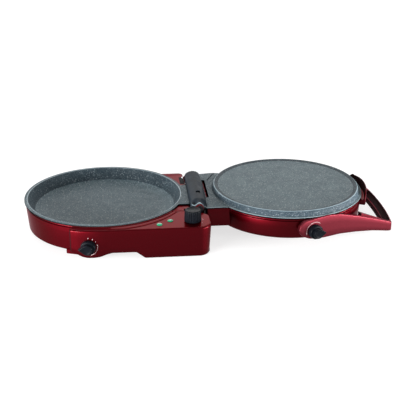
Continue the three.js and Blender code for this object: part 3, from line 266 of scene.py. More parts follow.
def arc_points(radius, start, end, middle=(0, 0), step=3.0):
    """Points on an arc about a middle, from one angle in degrees to another."""
    angle = np.radians(np.linspace(start, end, max(2, round(abs(end - start) / step) + 1)))
    return circled(radius, angle, 0, middle)[:, :2]


def evenly(line, gap, closed=True):
    """A line with points added along its long sides, at most a gap apart."""
    way = np.vstack([line, line[:1]]) if closed else line
    along = np.r_[0, np.cumsum(length(np.diff(way, axis=0)))]
    at = np.unique(np.round(np.r_[along, np.arange(0, along[-1], gap)], 3))
    made = np.stack([np.interp(at, along, way[:, axis]) for axis in range(2)], -1)
    return made[:-1] if closed else made


def round_with_block(radius, corners, gap, step):
    """A circle that runs out into a block on its right: an arc from where the block's last corner
    leaves the circle round to where its first one does, and the corners between them."""
    end, start = (math.degrees(math.asin(corners[i][1] / radius)) for i in (0, -1))
    arc = arc_points(radius, start, 360 + end, step=step)
    return evenly(np.vstack([arc, rounded(corners, closed=False)[1:-1]]), gap)


def outward(line, closed=True):
    """The unit normal at each point of a line that runs counterclockwise: its direction, taken
    between the two neighbours, turned a quarter to the right."""
    if closed:
        along = np.roll(line, -1, 0) - np.roll(line, 1, 0)
    else:
        along = np.gradient(line, axis=0)
    return unit(along)[:, ::-1] * [1, -1]


def level(line, height, closed=True):
    """A flat line raised to a height, or to one height for each point, as one row of a grid."""
    row = np.column_stack([line, np.broadcast_to(height, len(line))])
    return np.vstack([row, row[:1]]) if closed else row


def around(plan, normal, inset, height):
    """A closed plan drawn in along its normals, with one inset and one height for each point."""
    return level(plan - normal * inset, height)


def raised(line, levels):
    """A closed outline carried up through (inset, height) levels, each drawn in by its inset."""
    return np.stack([around(line, outward(line), inset, height) for inset, height in levels])


def slab(corners, gap, levels):
    """A block with rounded upright corners, carried up through its levels."""
    return raised(evenly(rounded(corners), gap), levels)


def oblong(left, right, front, back, left_corner, right_corner):
    """The corners of a rectangle seen from above, with one radius for each end."""
    return [(left, front, left_corner), (right, front, right_corner),
            (right, back, right_corner), (left, back, left_corner)]


def rings(line, levels):
    """A closed line about the origin at each (radius, height) of its levels."""
    return [level(radius * unit(line), z) for radius, z in levels]


shell_radius, deck_z = 162, 61.8
block_right, block_front, block_back = 170.9, -98.2, 118
pocket_left, pocket_back = 158.9, -86.2
base_plan = round_with_block(shell_radius, [
    (128.8, block_front, 0), (pocket_left, block_front, 0), (block_right, block_front, 0.4),
    (block_right, pocket_back, 0), (block_right, block_back, 10), (111, block_back, 0)], 5, 2.5)
base_normal = outward(base_plan)
on_round = (length(base_plan) < shell_radius + 0.05).astype(float)
on_block = 1 - on_round

# The block's front corner is turned in above the ledge: its points are mirrored on its diagonal.
in_pocket = (base_plan[:, 0] > pocket_left - 0.1) & (base_plan[:, 1] < pocket_back + 0.1)
mirror = pocket_left - block_front
pocket_plan = np.where(in_pocket[:, None], base_plan[:, ::-1] + [mirror, -mirror], base_plan)
off_pocket = (pocket_plan == base_plan).all(axis=1, keepdims=True)


def shell_rows(plan, block_share, levels):
    """Rows of the shell through levels of (inset on the round, inset on the block, height)."""
    return [around(plan, base_normal, a * on_round + b * block_share, z) for a, b, z in levels]


rod_x, rod_z = 190.9, 66
ear_front, ear_back = -98.2, 92.2


def ear(front):
    """One hinge ear: a round end about the rod and an arm that runs down to the block, as an
    outline in the upright plane, carried back through its thickness with soft edges."""
    tip = arc_points(8, -45, 135, (rod_x, rod_z), 15)
    outline = evenly(np.vstack([[[156, 33.8]], tip, [[156, 47.8]]]), 6)
    upright = raised(outline, [(1.0, 0), (0.3, 0.3), (0, 1), (0, 5), (0.3, 5.7), (1, 6)])
    return np.stack([upright[..., 0], front + upright[..., 2], upright[..., 1]], -1)


rows = shell_rows(base_plan, on_block, [
    (8.9, 8.9, 6.6), (6.4, 6.4, 6.5), (5.2, 5.2, 6.9), (3.5, 3, 8.4), (2, 0.9, 25), (0, 0, 47.7)])
rows += shell_rows(pocket_plan, on_block * off_pocket, [
    (0, 0, 47.8), (0, 0, 56.5), (0.3, 0, 56.8), (3, 0, 56.9), (3, 0, 58.4), (0.6, 0, 58.5),
    (0.2, 0, 58.9), (0.2, 0, 60.6), (0.7, 0.5, 61.4), (1.6, 1.5, deck_z)])
rows += rings(base_plan, [(159.6, deck_z), (159.4, 61.4), (159.4, 59.3)])
rows += shell_rows(base_plan, on_block, [(2.5, 2.5, 59.3), (4.5, 3.2, 25), (8.9, 8.9, 6.6)])
post = [(0, 1.8), (8.4, 1.8), (9, 2.6), (9, 9.5), (0, 9.5)]
ledge = slab(oblong(166, 172.6, -86, 92.6, 0.3, 0.3), 8, [
    (0.4, 48), (0, 48.4), (0, 60.4), (0.4, 60.8)])
tray = slab(oblong(166, 203, -97.5, 97.5, 0.5, 4), 8, [
    (3.4, 36), (1, 36.6), (0, 38), (0, 43.4), (0.5, 44), (1.6, 44), (2.2, 42), (4, 41.5)])
posts = [turned(post, place, 48) for place in wall_feet]
make_piece("base_shell", "base", [np.stack(rows), ear(ear_front), ear(ear_back), ledge, tray,
           *posts], red_lacquer, ["base_housing"])


# Control housing. The red box under the deck, with the panel that follows the round wall. It is a
# second moulding in the same lacquer: a raised collar lies round the pan on its deck, its top
# edges are rolled over, its foot line dips under the dial, and a small foot stands at its left.
def polar(radius, degrees):
    """The x and y of a point at a radius and an angle."""
    return radius * math.cos(math.radians(degrees)), radius * math.sin(math.radians(degrees))


def smoothed(values, window):
    """Values averaged over a window of weights, with the two ends held."""
    wide = np.pad(values, len(window) // 2, mode="edge")
    return np.convolve(wide, window / window.sum(), mode="valid")


panel_radius, seam_radius, seam_turn = 181, 162.4, -112.6
box_right, box_back, box_join = 208, -107.2, -98.5
front_plan = evenly(np.vstack([
    rounded([(*polar(seam_radius, seam_turn), 0), (*polar(panel_radius, seam_turn), 7),
             (*polar(panel_radius, -105), 0)], closed=False)[:-1],
    arc_points(panel_radius, -107, -90, step=1),
    rounded([(0, -panel_radius, 0), (box_right, -panel_radius, 25.8), (box_right, box_back, 19.9),
             (block_right, box_back, 0.5), (block_right, box_join, 0)], 10, closed=False)[1:],
]), 2.5, closed=False)
spacing = length(np.diff(front_plan, axis=0))[:, 0]
front_plan = front_plan[np.r_[spacing > 0.7, True]]
front_x, front_y = front_plan.T
front_normal = outward(front_plan, closed=False)

# The rim line is the deck's inner edge: an arc round the pan, and beyond the box's right side a
# straight line along the block.
roll_radius, roll_z = 4.2, 57.6
rim_radius = 165.8
front_top = front_plan - roll_radius * front_normal
back_end = (front_x > 165) & (front_x < 171) & (front_y > -106.8)
front_top[back_end] = np.maximum(front_top[back_end], [0, -103.0])
past = np.argmax((front_x > 207.9) & (front_y > -155.3))
run = np.r_[0, np.cumsum(length(np.diff(front_plan[past:], axis=0)))]
share = run / run[-1]
rim_line = rim_radius * unit(front_top)
rim_line[past:, 0] = 133.2 + share * 37.6
rim_line[past:, 1] = box_join
on_rim = np.ones((len(front_plan), 1))
on_rim[past:, 0] = np.clip(1 - share * 4, 0, 1)
top_reach = length(front_top - rim_line)
short = (length(front_top) < 167.5) & (on_rim > 0.9)
across = np.where(short, unit(rim_line), (front_top - rim_line) / np.maximum(top_reach, 1e-6))
top_reach = np.where(short, 1.5, top_reach)

# The collar's outer edge is a circle about a middle of its own, so the collar is widest in front.
collar_middle, collar_radius = np.array([5, -16]), 163.5
cosine = (unit(rim_line) * collar_middle).sum(1, keepdims=True)
collar_reach = cosine + np.sqrt(
    collar_radius ** 2 - (collar_middle ** 2).sum() + cosine ** 2) - rim_radius
collar_reach = np.minimum(collar_reach * on_rim + 5 * (1 - on_rim), top_reach - 0.8)


def deck_row(offset, rise):
    """A row of the deck: each point of the rim line moved across by an offset, up to where the
    deck's edge rolls over, and lifted above the deck by a rise that dies out along the block."""
    return np.column_stack([
        rim_line + across * np.minimum(offset, top_reach), deck_z + rise * on_rim[:, 0]])


table_x = np.linspace(-90, 230, 641)
foot_table = smoothed(np.interp(
    table_x, [-90, -65, -56, -44, -33, -21, -9.5, 2, 13.8, 60, 77, 230],
    [13, 13, 11.4, 6.1, 4.3, 5, 6.8, 11.4, 14.5, 14.2, 1.2, 1]), np.hanning(15))
foot_line = np.interp(front_x, table_x, foot_table)
lean = np.clip((front_x - 182) / 26, 0, 1) * 4


def wall_row(inset, height):
    """A row of the panel's wall, leaning in at the right end towards its foot."""
    moved = front_plan - front_normal * inset
    moved[:, 0] -= lean * (1 - np.clip(height / deck_z, 0, 1))
    return level(moved, height, closed=False)


rows, reach = [], 0
for offset, rise in (
        (0, -2.4), (0, 1.4), (0.5, 2.1), (1.6, 2.4), (2.8, 2.1), (3.6, 1.2), (4.1, 0.3),
        (4.8, 0.25), (5.4, 1.6), (6.4, 2.2), (collar_reach - 1.2, 1.1), (collar_reach - 0.4, 0.8),
        (collar_reach, 0.2), (collar_reach + 0.4, 0), (collar_reach + 0.7, 0)):
    reach = np.maximum(reach, np.minimum(offset, top_reach))
    rows.append(deck_row(reach, rise))
rows += [deck_row(collar_reach + (top_reach - collar_reach) * part, 0)
         for part in (0.15, 0.35, 0.6, 0.85, 0.985, 1)]
rows += [wall_row(roll_radius - roll_radius * math.sin(a), roll_z + roll_radius * math.cos(a))
         for a in np.radians(range(15, 91, 15))]
rows += [wall_row(0, roll_z + (foot_line + 1.2 - roll_z) * part) for part in (0.25, 0.5, 0.75, 1)]
rows += [wall_row(inset, z) for inset, z in (
    (0.4, foot_line + 0.35), (1.2, foot_line), (2.5, foot_line), (2.5, 40), (2.5, roll_z),
    (5, 59.4))]
panel = make_piece(
    "control_shell", "base", [np.stack([*rows, rows[0]])], red_lacquer,
    ["control_housing"], 50)


def recoat(piece, material, chosen):
    """Gives a second finish to those faces of a piece that a test picks out. The test gets the
    x, y and z of their centres in millimetres, and their normals in three rows."""
    mesh = piece.data
    mesh.materials.append(material)
    centre = np.array([face.center for face in mesh.polygons])
    normal = np.array([face.normal for face in mesh.polygons])
    for at in np.flatnonzero(chosen(*((centre - pan_centre) * 1000).T, normal.T)):
        mesh.polygons[at].material_index = len(mesh.materials) - 1


# A dark matte red, painted shade, for faces that lie in shadow.
painted_shade_red = make_finish(
    "painted_shade_red", (24, 4, 6), (32, 6, 9), (0.6, 0.7), 0.02, 120, Specular_IOR_Level=0.03)
# The panel's left end at its seam is painted shade.
recoat(panel, painted_shade_red, lambda x, y, z, n: (x < -62) & (n[0] < -0.75) & (z < 60))
corner_foot = slab([
    (-75.5, -157.4, 1.5), (-52, -166, 1.5), (-50.5, -162, 1.5), (-74, -153.4, 1.5)], 6, [
    (1, 6.8), (0, 7.6), (0, 16)])
make_piece("panel_foot", "base", [corner_foot], red_lacquer)


# Bottom covers. Two black plates that close the housings from below, ribbed only inside.
# They are plain moulded plastic with a fine spark grain, drawn up by the four bottom screws.
def dress(material, *nodes):
    """Gives nodes that keep their own shape a finish in their first slot."""
    for node in nodes:
        bpy.data.objects[node].data.materials.clear()
        bpy.data.objects[node].data.materials.append(material)


black_plastic = make_finish(
    "black_plastic", (8, 10, 14), (13, 16, 21), (0.3, 0.4), 0.01, 90, 1800,
    Specular_IOR_Level=0.035)
dress(black_plastic, "base_bottom_cover", "control_bottom_cover")


# Steel and other small parts inside. Screws, shafts, clips and the rod are plated steel; the
# heaters lie on aluminium trays; the lamps are glass and the terminal block is white plastic.
steel = make_finish(
    "steel", (150, 153, 156), (176, 179, 182), (0.25, 0.4), 0.004, 240, 2200, Metallic=1.0)
black_steel = make_finish(
    "black_steel", (44, 45, 48), (58, 60, 63), (0.35, 0.45), 0.004, 240, 2200, Metallic=1.0)
aluminium = make_finish(
    "aluminium", (186, 188, 190), (205, 207, 208), (0.3, 0.45), 0.01, 130, 1500, Metallic=1.0)
white_plastic = make_finish("white_plastic", (222, 217, 205), (236, 232, 222), (0.4, 0.5), 0.01)
lamp_glass = make_finish(
    "lamp_glass", (246, 240, 226), (250, 246, 236), (0.05, 0.1), 0.001, Transmission_Weight=0.9)
dress(black_steel, "hinge_rod", "hinge_clip_front", "hinge_clip_back")
dress(steel, "timer_mechanism", "timer_shaft", "handle_screw_front", "handle_screw_rear",
      *[f"{side}_{part}" for side in ("lower", "upper")
        for part in ("thermostat", "thermostat_shaft", "heating_element")],
      *[f"{what}_screw_{i + 1}" for what, count in (("bottom", 4), ("plate", 3), ("guard", 2))
        for i in range(count)])
dress(aluminium, "lower_reflector", "upper_reflector")
dress(white_plastic, "terminal_block")
dress(lamp_glass, "power_lamp", "ready_lamp")


# Hinge gap shade. A thin black plate in the block's deck beside the hinge cover: painted shade
# that stands for the dark gap there. A short pale pin on it stops the cover's end.
gap_shade_black = make_finish(
    "gap_shade_black", (10, 10, 12), (17, 18, 20), (0.6, 0.7), 0.01, 90, Specular_IOR_Level=0.05)
gap_shade_plate = slab(oblong(161.5, 171.6, 51, 91, 1, 1), 6, [(0, 61.3), (0, 61.95), (0.4, 62.1)])
make_piece("hinge_gap_shade", "base", [gap_shade_plate], gap_shade_black)
pin = [(0, 61.9), (1.6, 61.9), (1.6, 64.6), (1.2, 65.2), (0, 65.3)]
make_piece("pad_pin", "base", [turned(pin, (169.6, 84.5), 32)], steel)


# Gland. A flanged black bushing in the back of the hinge block.
# It is moulded in one piece and snapped into its hole; its bore runs in to a dark end.
gland = turned([
    (0, 6), (3.4, 6), (3.6, 12.5), (4.2, 13), (8.6, 11.4), (9.4, 6.4), (10.4, 3.4), (11, 2.6),
    (11, 0.6), (10.4, 0.1), (8, 0), (8, -5.6), (0, -5.6)], steps=64)
gland = gland[..., [0, 2, 1]] + [136.9, block_back, 24]
make_piece("supply_gland", "base", [gland], black_plastic, ["cord_gland"])


# Lower pan. A round dish 25 mm deep with a flat rim and a tab that runs out to the hinge.
# It is cast aluminium under a dark blue-grey stone coating full of pale and black specks.
def reckon(tree, operation, first, second):
    """The result of one arithmetic operation on two numbers or sockets."""
    node = add_node(tree, "Math")
    node.operation = operation
    return feed(node, {0: first, 1: second}).outputs["Value"]


def speck_group():
    """Specks of one size: a point is in a speck where it lies nearer than the speck's radius to
    the closest of randomly strewn centres, and where that centre is one of the chosen share."""
    group, given, out = new_group(
        "specks", {"Size": 500.0, "Radius": 0.3, "Share": 0.5}, ("Mask",))
    place = add_node(group, "TexCoord").outputs["Object"]
    cells = add_node(group, "TexVoronoi", {"Vector": place, "Scale": given["Size"]})
    near = add_node(group, "MapRange", {
        "Value": cells.outputs["Distance"], "From Max": given["Radius"], "To Min": 1, "To Max": 0})
    parts = add_node(group, "SeparateColor", {"Color": cells.outputs["Color"]})
    chosen = reckon(group, "LESS_THAN", parts.outputs["Red"], given["Share"])
    feed(out, {"Mask": reckon(group, "MULTIPLY", near.outputs["Result"], chosen)})
    return group


specks = speck_group()


def stone_finish(name, dark, light, show=1.0):
    """The stone coating: a mottled ground with pale and black specks laid over it, which a
    share below one lets show through more weakly."""
    made = make_finish(name, dark, light, (0.5, 0.62), 0.05, 45, 1300, Specular_IOR_Level=0.1)
    tree = made.node_tree
    shader = tree.nodes["Principled BSDF"]
    colour = shader.inputs["Base Color"].links[0].from_socket
    for speck, size, radius, part, strength in (
            ((205, 214, 218), 330, 0.42, 0.30, 0.55), ((24, 28, 32), 420, 0.5, 0.34, 0.6),
            ((196, 206, 210), 760, 0.5, 0.35, 0.45)):
        laid = add_node(tree, "Group", {"Size": size, "Radius": radius, "Share": part}, specks)
        cover = reckon(tree, "MULTIPLY", laid.outputs["Mask"], strength * show)
        colour = mixed(tree, cover, colour, sheet_colour(*speck))
    feed(shader, {"Base Color": colour})
    return made


def between(value, low, high):
    """True where a value lies between two others."""
    return (value > low) & (value < high)


stone_coat = stone_finish("stone_coat", (60, 74, 80), (73, 87, 92))
# A darker copy of the coating, painted shade, for the pan's inner wall and the plate's inner rim
# slope.
painted_shade_stone = stone_finish("painted_shade_stone", (27, 37, 43), (37, 48, 54), 0.45)
# A pale copy of the coating: a painted highlight along edges.
painted_edge_highlight = make_finish(
    "painted_edge_highlight", (100, 114, 120), (114, 128, 134), (0.35, 0.45), 0.02, 90,
    Specular_IOR_Level=0.2)
# A near-black finish, painted shade, for the flanges' outer sides over the shadowed gap beneath
# them.
painted_shade_edge = make_finish(
    "painted_shade_edge", (6, 7, 9), (12, 13, 15), (0.6, 0.7), 0.01, 90, Specular_IOR_Level=0.02)

tab_right, tab_front, tab_back = 172.9, -68, 38
pan_plan = round_with_block(pan_radius, [
    (150.3, tab_front, 0), (tab_right, tab_front, 2.5), (tab_right, tab_back, 2.5),
    (160.6, tab_back, 0)], 4, 2)
rows = rings(pan_plan, [
    (0.01, 40.5), (60, 40.5), (110, 40.5), (138.5, 40.6), (139.3, 41.2), (141.5, 41.4),
    (144.2, 42.6), (146, 45.2), (150.6, 53), (157.1, 63.4), (157.9, 65.1), (158.5, 65.5),
    (159.7, 65.5), (160.3, 65), (163.6, 65)])
rows += [*raised(pan_plan, [(0.6, 65), (0.15, 64.8), (0, 64.4), (0, 62.5), (0.6, 61.9)])]
rows += rings(pan_plan, [
    (160.5, 62.5), (159.4, 61.4), (148, 41.5), (142.5, 37.9), (60, 37.9), (0.01, 37.9)])
pan = make_piece(
    "lower_pan_dish", "base", [np.stack(rows)], stone_coat, ["lower_pan"])
# The pan's inner wall is painted shade.
recoat(pan, painted_shade_stone, lambda x, y, z, n: (z > 42) & (n[2] > 0.2) & (np.hypot(x, y) < 157.6))
# A thin ring at the pan's inner rim edge is a painted highlight.
recoat(pan, painted_edge_highlight, lambda x, y, z, n: (z > 65.2) & (np.abs(np.hypot(x, y) - 158.9) < 0.9))
# The pan flange's outer side is painted shade.
recoat(pan, painted_shade_edge, lambda x, y, z, n: (
    between(z, deck_z, 64.7) & (np.abs(n[2]) < 0.8) & (np.hypot(x, y) > 161.5)))


# Lamp lenses. Two small green domes in the deck, one for power and one for heat reached.
# They are moulded in clear green plastic and pressed into the deck from above.
green_lens = make_finish(
    "green_lens", (4, 112, 78), (14, 132, 94), (0.12, 0.2), 0.001, 500, 2600,
    Transmission_Weight=0.15, Coat_Weight=0.3, Coat_Roughness=0.06, Specular_IOR_Level=0.3,
    Emission_Color=sheet_colour(20, 170, 110), Emission_Strength=0.1)
dome = [(0, 57), (4.2, 57), (4.2, 61.5), (5.6, 61.9), (5.7, 62.5), (5.3, 62.9), (5, 62.9),
        (4.6, 63.4), (3.6, 64), (2.2, 64.3), (0, 64.4)]
for name, place in (("power", (106.5, -160)), ("ready", (128.5, -143.8))):
    make_piece(f"{name}_lamp_cap", "base", [turned(dome, place, 64)], green_lens,
               [f"{name}_lens"])


# Timer knob. A tall ribbed knob that turns on the deck and counts the baking time down.
# It is moulded black plastic, pushed on its shaft, with eighteen broad flutes and a dished top.
timer_middle = (172.2, -147)
knob_angle = np.linspace(0, 2 * np.pi, 385)
flute = np.abs(np.sin(knob_angle * 9)) ** 0.6


def fluted(radius, height, depth):
    """A row of the knob: a circle whose radius falls by a depth towards the flutes' edges."""
    return circled(radius - depth * (1 - flute), knob_angle, height, timer_middle)


grid = np.stack([fluted(*row) for row in (
    (0, 62.5, 0), (15.4, 62.5, 0.2), (16.6, 63, 0.6), (16.8, 64.5, 1), (16.6, 70, 1),
    (16.3, 76, 1), (16, 82.4, 1), (15.7, 83.9, 0.8), (14.9, 84.9, 0.45), (13.8, 85.25, 0.1),
    (12.6, 85.1, 0), (11.4, 84.3, 0), (0, 84.1, 0))])
make_piece(
    "ribbed_timer_knob", "timer", [grid], black_plastic, ["timer_knob"], 60)


# Thermostat knobs. One on the front panel and one on the hub of the handle, both alike.
# They are moulded black plastic: a low round skirt with a raised grip that ends in a pointer.
def placed(grid, origin, along, across, up):
    """A grid drawn in a frame of its own, set in place by that frame's origin and three axes."""
    return np.array(origin) + grid @ np.array([along, across, up], float)


def pointer_knob():
    """A round skirt, and on it a drop-shaped grip: a circle drawn out to a point by the tangents
    from it, which is raised and shrinks towards its middle as it rolls over into a shallow dish."""
    skirt = turned([(0, 0.6), (14.6, 0.6), (15, 1.2), (14.4, 8.2), (13.8, 9.3), (12.6, 9.9),
                    (0, 10)], steps=96)
    grip_radius, tip = 10.6, 18.2
    side = math.degrees(math.acos(grip_radius / tip))
    circle = arc_points(grip_radius, side, 360 - side, step=6)
    point = rounded([(*circle[-1], 0), (tip, 0, 1.0), (*circle[0], 0)], closed=False)[1:-1]
    drop = evenly(np.vstack([circle, point]), 1.5)
    grip = np.stack([level(drop * share, z) for share, z in (
        (0.86, 8.5), (1, 9.0), (1, 13), (0.985, 15.6), (0.96, 16.7), (0.92, 17.5), (0.86, 17.95),
        (0.79, 18), (0.7, 17.75), (0.58, 17.3), (0.4, 17.05), (0.2, 17), (0.001, 17))])
    return [skirt, grip]


def dial_frame(turn, pointer):
    """Axes of a dial that faces forward, turned by an angle about the upright, with its pointer
    to the right (1) or to the left (-1)."""
    cosine, sine = polar(1, turn)
    right, ahead = np.array([cosine, sine, 0]), np.array([sine, -cosine, 0])
    return right * pointer, np.array([0, 0, 1.0]) * pointer, ahead


panel_turn, arm_turn = -10.1, 20.7
lower_dial, upper_dial = (-31.741, -178.195, 28.5), (412.386, -164.402, 37.1)
for name, place, axes in (("lower", lower_dial, dial_frame(panel_turn, -1)),
                          ("upper", upper_dial, dial_frame(arm_turn, 1))):
    grids = [placed(grid, place, *axes) for grid in pointer_knob()]
    make_piece(f"{name}_pointer_knob", f"{name}_dial", grids, black_plastic,
               [f"{name}_thermostat_knob"], 45)


# Dial marks. Pale ticks and arcs of print round the knobs, a tenth of a millimetre thick.
# The lower ones run from twelve to five o'clock, and the upper ones from nine over twelve.
def stroke(start, end, inner, outer, steps=24):
    """A flat arc between two angles in degrees and two radii, as rows of (along, up, lift): the
    outline is lifted by a tenth of a millimetre and closed round its thickness."""
    angle = np.radians(np.linspace(start, end, steps))
    ring = [(inner, -0.1), (inner, 0.08), (outer, 0.08), (outer, -0.1), (inner, -0.1)]
    return np.stack([circled(radius, angle, z) for radius, z in ring])


def on_panel(mark):
    """A mark laid on the round front panel: its distance along the panel becomes an angle."""
    angle = np.radians(panel_turn - 90) + mark[..., 0] / panel_radius
    out = panel_radius + 0.03 + mark[..., 2]
    return circled(out, angle, lower_dial[2] + mark[..., 1])


print_white = make_finish(
    "dial_print", (174, 146, 148), (190, 164, 165), (0.45, 0.55), 0.002, 300, 2400)
faint_print = make_finish(
    "faint_print", (150, 92, 98), (166, 108, 113), (0.45, 0.55), 0.002, 300, 2400)
lower_marks = [stroke(a - 1.4, a + 1.4, 16.9, 19.0, 4) for a in (90, 62, 38)]
lower_marks += [stroke(12, 17, 16.8, 19.4, 6), stroke(-76, 12, 17.3, 18.3)]
upper_marks = [stroke(48, 180, 18.4, 19.2, 48), stroke(180, 196, 18.0, 19.6, 8)]
timer_marks = [stroke(a - 2, a + 2, 19.5, 21.5, 4) for a in (-32, 8, 14, 20)]
grids = [on_panel(mark) for mark in lower_marks]
make_piece("lower_dial_marks", "base", grids, print_white)
grids = [placed(mark, upper_dial, *dial_frame(arm_turn, 1)) for mark in upper_marks]
make_piece("upper_dial_marks", "lid", grids, print_white)
grids = [mark + [*timer_middle, deck_z + 0.03] for mark in timer_marks]
make_piece("timer_marks", "base", grids, faint_print)


# Upper plate. The raised round griddle of the lid with its flange, and the web that joins it to
# the hinge. It is one aluminium casting with the lower pan's coating; the web has a long slot.
lid_x = 381.8
lid_centre = np.array([lid_x, 0])
disc = turned([
    (0.01, 74), (60, 74), (110, 74), (141, 74), (143, 74.2), (149.5, 76.2), (150.3, 76.4),
    (151.1, 76.35), (152.3, 75.2), (153.4, 73.4), (155.9, 67), (156.4, 66), (157.2, 65.6),
    (159.7, 65.5), (160.7, 65.1), (161, 64.6), (161, 64.2), (161, 62.6), (160.4, 62.1),
    (152, 62.1), (149, 72.6), (60, 72.6), (0.01, 72.6)], lid_centre, 180)

flange_radius = 161
web_left, web_front, web_back = 203.5, -92.5, 100.5
join_front, join_back = (math.degrees(math.asin(y / flange_radius)) for y in (web_front, web_back))
web_plan = evenly(np.vstack([
    arc_points(flange_radius + 0.02, 180 - join_front, 180 - join_back, lid_centre, 2),
    rounded([(256, web_back, 0), (233, 103.8, 5), (207, 99.7, 3), (web_left, 90, 1),
             (web_left, web_front, 0.6), (249, web_front, 0)], closed=False)[1:-1],
]), 4)
web_x, web_y = web_plan.T
at_disc = length(web_plan - lid_centre) < flange_radius + 0.1

# The slot has as many points as the plan, each level with its own: a soft-cornered oblong.
slot_line = np.stack([
    np.where(at_disc[:, 0], 215, np.interp(web_x, [203.6, 240], [208.6, 215])),
    np.where(web_y > 98, 61, np.interp(web_y, [web_front, 90], [-38, 61]))], -1)
slot_out = slot_line + np.clip((slot_line - [211.8, 11.5]) / [3.2, 49.5], -1, 1) ** 9 * 0.5
rows = raised(web_plan, [(inset * (1 - at_disc), z) for inset, z in (
    (0.5, 62.1), (0, 62.6), (0, 64.2), (0, 64.6), (0.3, 65.2), (1, 65.45))])
web = np.stack([*rows, level(slot_out, 65.45), level(slot_line, 64.9), level(slot_line, 62.6),
                level(slot_out, 62.1), rows[0]])
crease_line = np.array([[221.5, 59], [227, 72], [233, 86], [239, 98.5]])
crease_side = np.array([0.92, -0.39])
crease = np.stack([
    level(crease_line + crease_side * side, z, closed=False)
    for side, z in ((-1.6, 65.2), (-1.4, 66.9), (-0.8, 67.2), (1.6, 65.2), (-1.6, 65.2))])
plate = make_piece(
    "griddle_plate", "lid", [disc, web, crease], stone_coat, ["upper_plate"])


def from_lid(x, y):
    """Distance from the lid's upright axis."""
    return np.hypot(x - lid_x, y)


def painted_highlight_faces(x, y, z, n):
    """The faces painted with a highlight: the bevel round the plate's top, the lip of its flange
    and the upper edge of the web.
    """
    out = from_lid(x, y)
    bevel = (np.abs(out - 151.7) < 0.7) & (z > 75.3)
    lip = between(z, 64.2, 65.35) & (n[2] > -0.2) & (np.hypot(n[0], n[1]) > 0.3)
    return bevel | (lip & ((out > 160.2) | (y < web_front + 0.5)))


# A lighter copy of the coating, painted light, for the plate's flat top.
painted_light_stone = stone_finish("painted_light_stone", (68, 82, 87), (82, 96, 100))
# A darker copy of the coating, painted shade, for the plate's upright outer side.
painted_shade_stone_side = stone_finish("painted_shade_stone_side", (44, 56, 64), (54, 67, 75), 0.8)
# The inner slope of the plate's raised rim is painted shade.
recoat(plate, painted_shade_stone, lambda x, y, z, n: between(z, 74.05, 76.3) & (from_lid(x, y) < 151))
# The plate's flat top is painted lighter, as painted light.
recoat(plate, painted_light_stone, lambda x, y, z, n: between(z, 73.9, 74.3) & (n[2] > 0.9))
# The plate's outer side is painted shade.
recoat(plate, painted_shade_stone_side, lambda x, y, z, n: (
    between(z, 65.5, 75.3) & (np.hypot(n[0], n[1]) > 0.6) & (from_lid(x, y) > 152)))
# The plate's top bevel, flange lip and web edge are painted highlights.
recoat(plate, painted_edge_highlight, painted_highlight_faces)
# The plate flange's lower side is painted shade.
recoat(plate, painted_shade_edge, lambda x, y, z, n: (z < 64.3) & (np.abs(n[2]) < 0.8))


# Hinge cover. The long arch of the same casting that lies over the rod, with a wavy front lip.
# Its crown has a soft dent and a screw hole; in front it dips and rises over the hinge's ear.
slate_coat = make_finish(
    "slate_coat", (21, 26, 31), (30, 36, 42), (0.3, 0.4), 0.03, 45, 1300, Specular_IOR_Level=0.02)
arch_foot, lip_y = 64.6, -91
arch_turn = np.sort(np.r_[np.linspace(0, np.pi, 49), np.linspace(1.13, 1.82, 31)])
arch_y = np.unique(np.r_[np.linspace(lip_y, -62, 30), np.linspace(-62, 84, 40),
                         np.linspace(-45, -29, 36), 84.5, 85, 85.4])
turn, along = np.meshgrid(arch_turn, arch_y)
arch_x = rod_x + np.where(turn > np.pi / 2, 17.5, 16.2) * np.cos(turn)
arch_z = arch_foot + 14.0 * np.sin(turn) ** 0.85

# The lip's wave is a smoothed line over x, which the arch eases into towards its front.
wave_at = np.linspace(168, 212, 177)
wave_table = smoothed(np.interp(
    wave_at, [171, 173.4, 175.4, 177.5, 181.5, 185.5, 189.6, 193.6, 197.7, 201.7, 204.5, 208],
    [79.5, 76.4, 73.2, 71.2, 70.4, 73.3, 76.2, 75.1, 70.6, 66.5, 65.2, 64.6]), np.hanning(11))
wave = np.interp(arch_x, wave_at, wave_table)
wave_end = arch_foot + 60 * np.maximum(arch_x - 174.5, 0) ** 0.7
wave = np.where(arch_x < 176.5, np.minimum(wave, wave_end), wave)
ease = np.clip((-70 - along) / 21, 0, 1)
ease = ease * ease * (3 - 2 * ease)
arch_z += (wave - arch_z) * ease

# A bell-shaped dent, a scoop round the screw and a far end that rolls down.
screw_x, screw_y = 192.5, -37
arch_z -= 1.4 * np.exp(-(((arch_x - 198.6) / 5.5) ** 2 + ((along - 2) / 15) ** 2))
far = np.hypot((arch_x - screw_x) / 1.15, np.maximum(np.abs(along - screw_y) - 2.5, 0))
arch_z -= 4.2 * np.clip((4.0 - far) / 0.8, 0, 1)
close = np.clip((along - 84) / 1.4, 0, 1)
arch_z -= 1.2 * (1 - np.sqrt(1 - close ** 2))
arch = np.stack([arch_x, along, arch_z], -1)
inner = np.stack([rod_x + 13.4 * np.cos(turn), along, np.maximum(arch_z - 3.6, 61.4)], -1)


def brought_down(sheet, column, height):
    """One column of a sheet of points, moved to a height."""
    return sheet[:, [column]] * [1, 1, 0] + [0, 0, height]


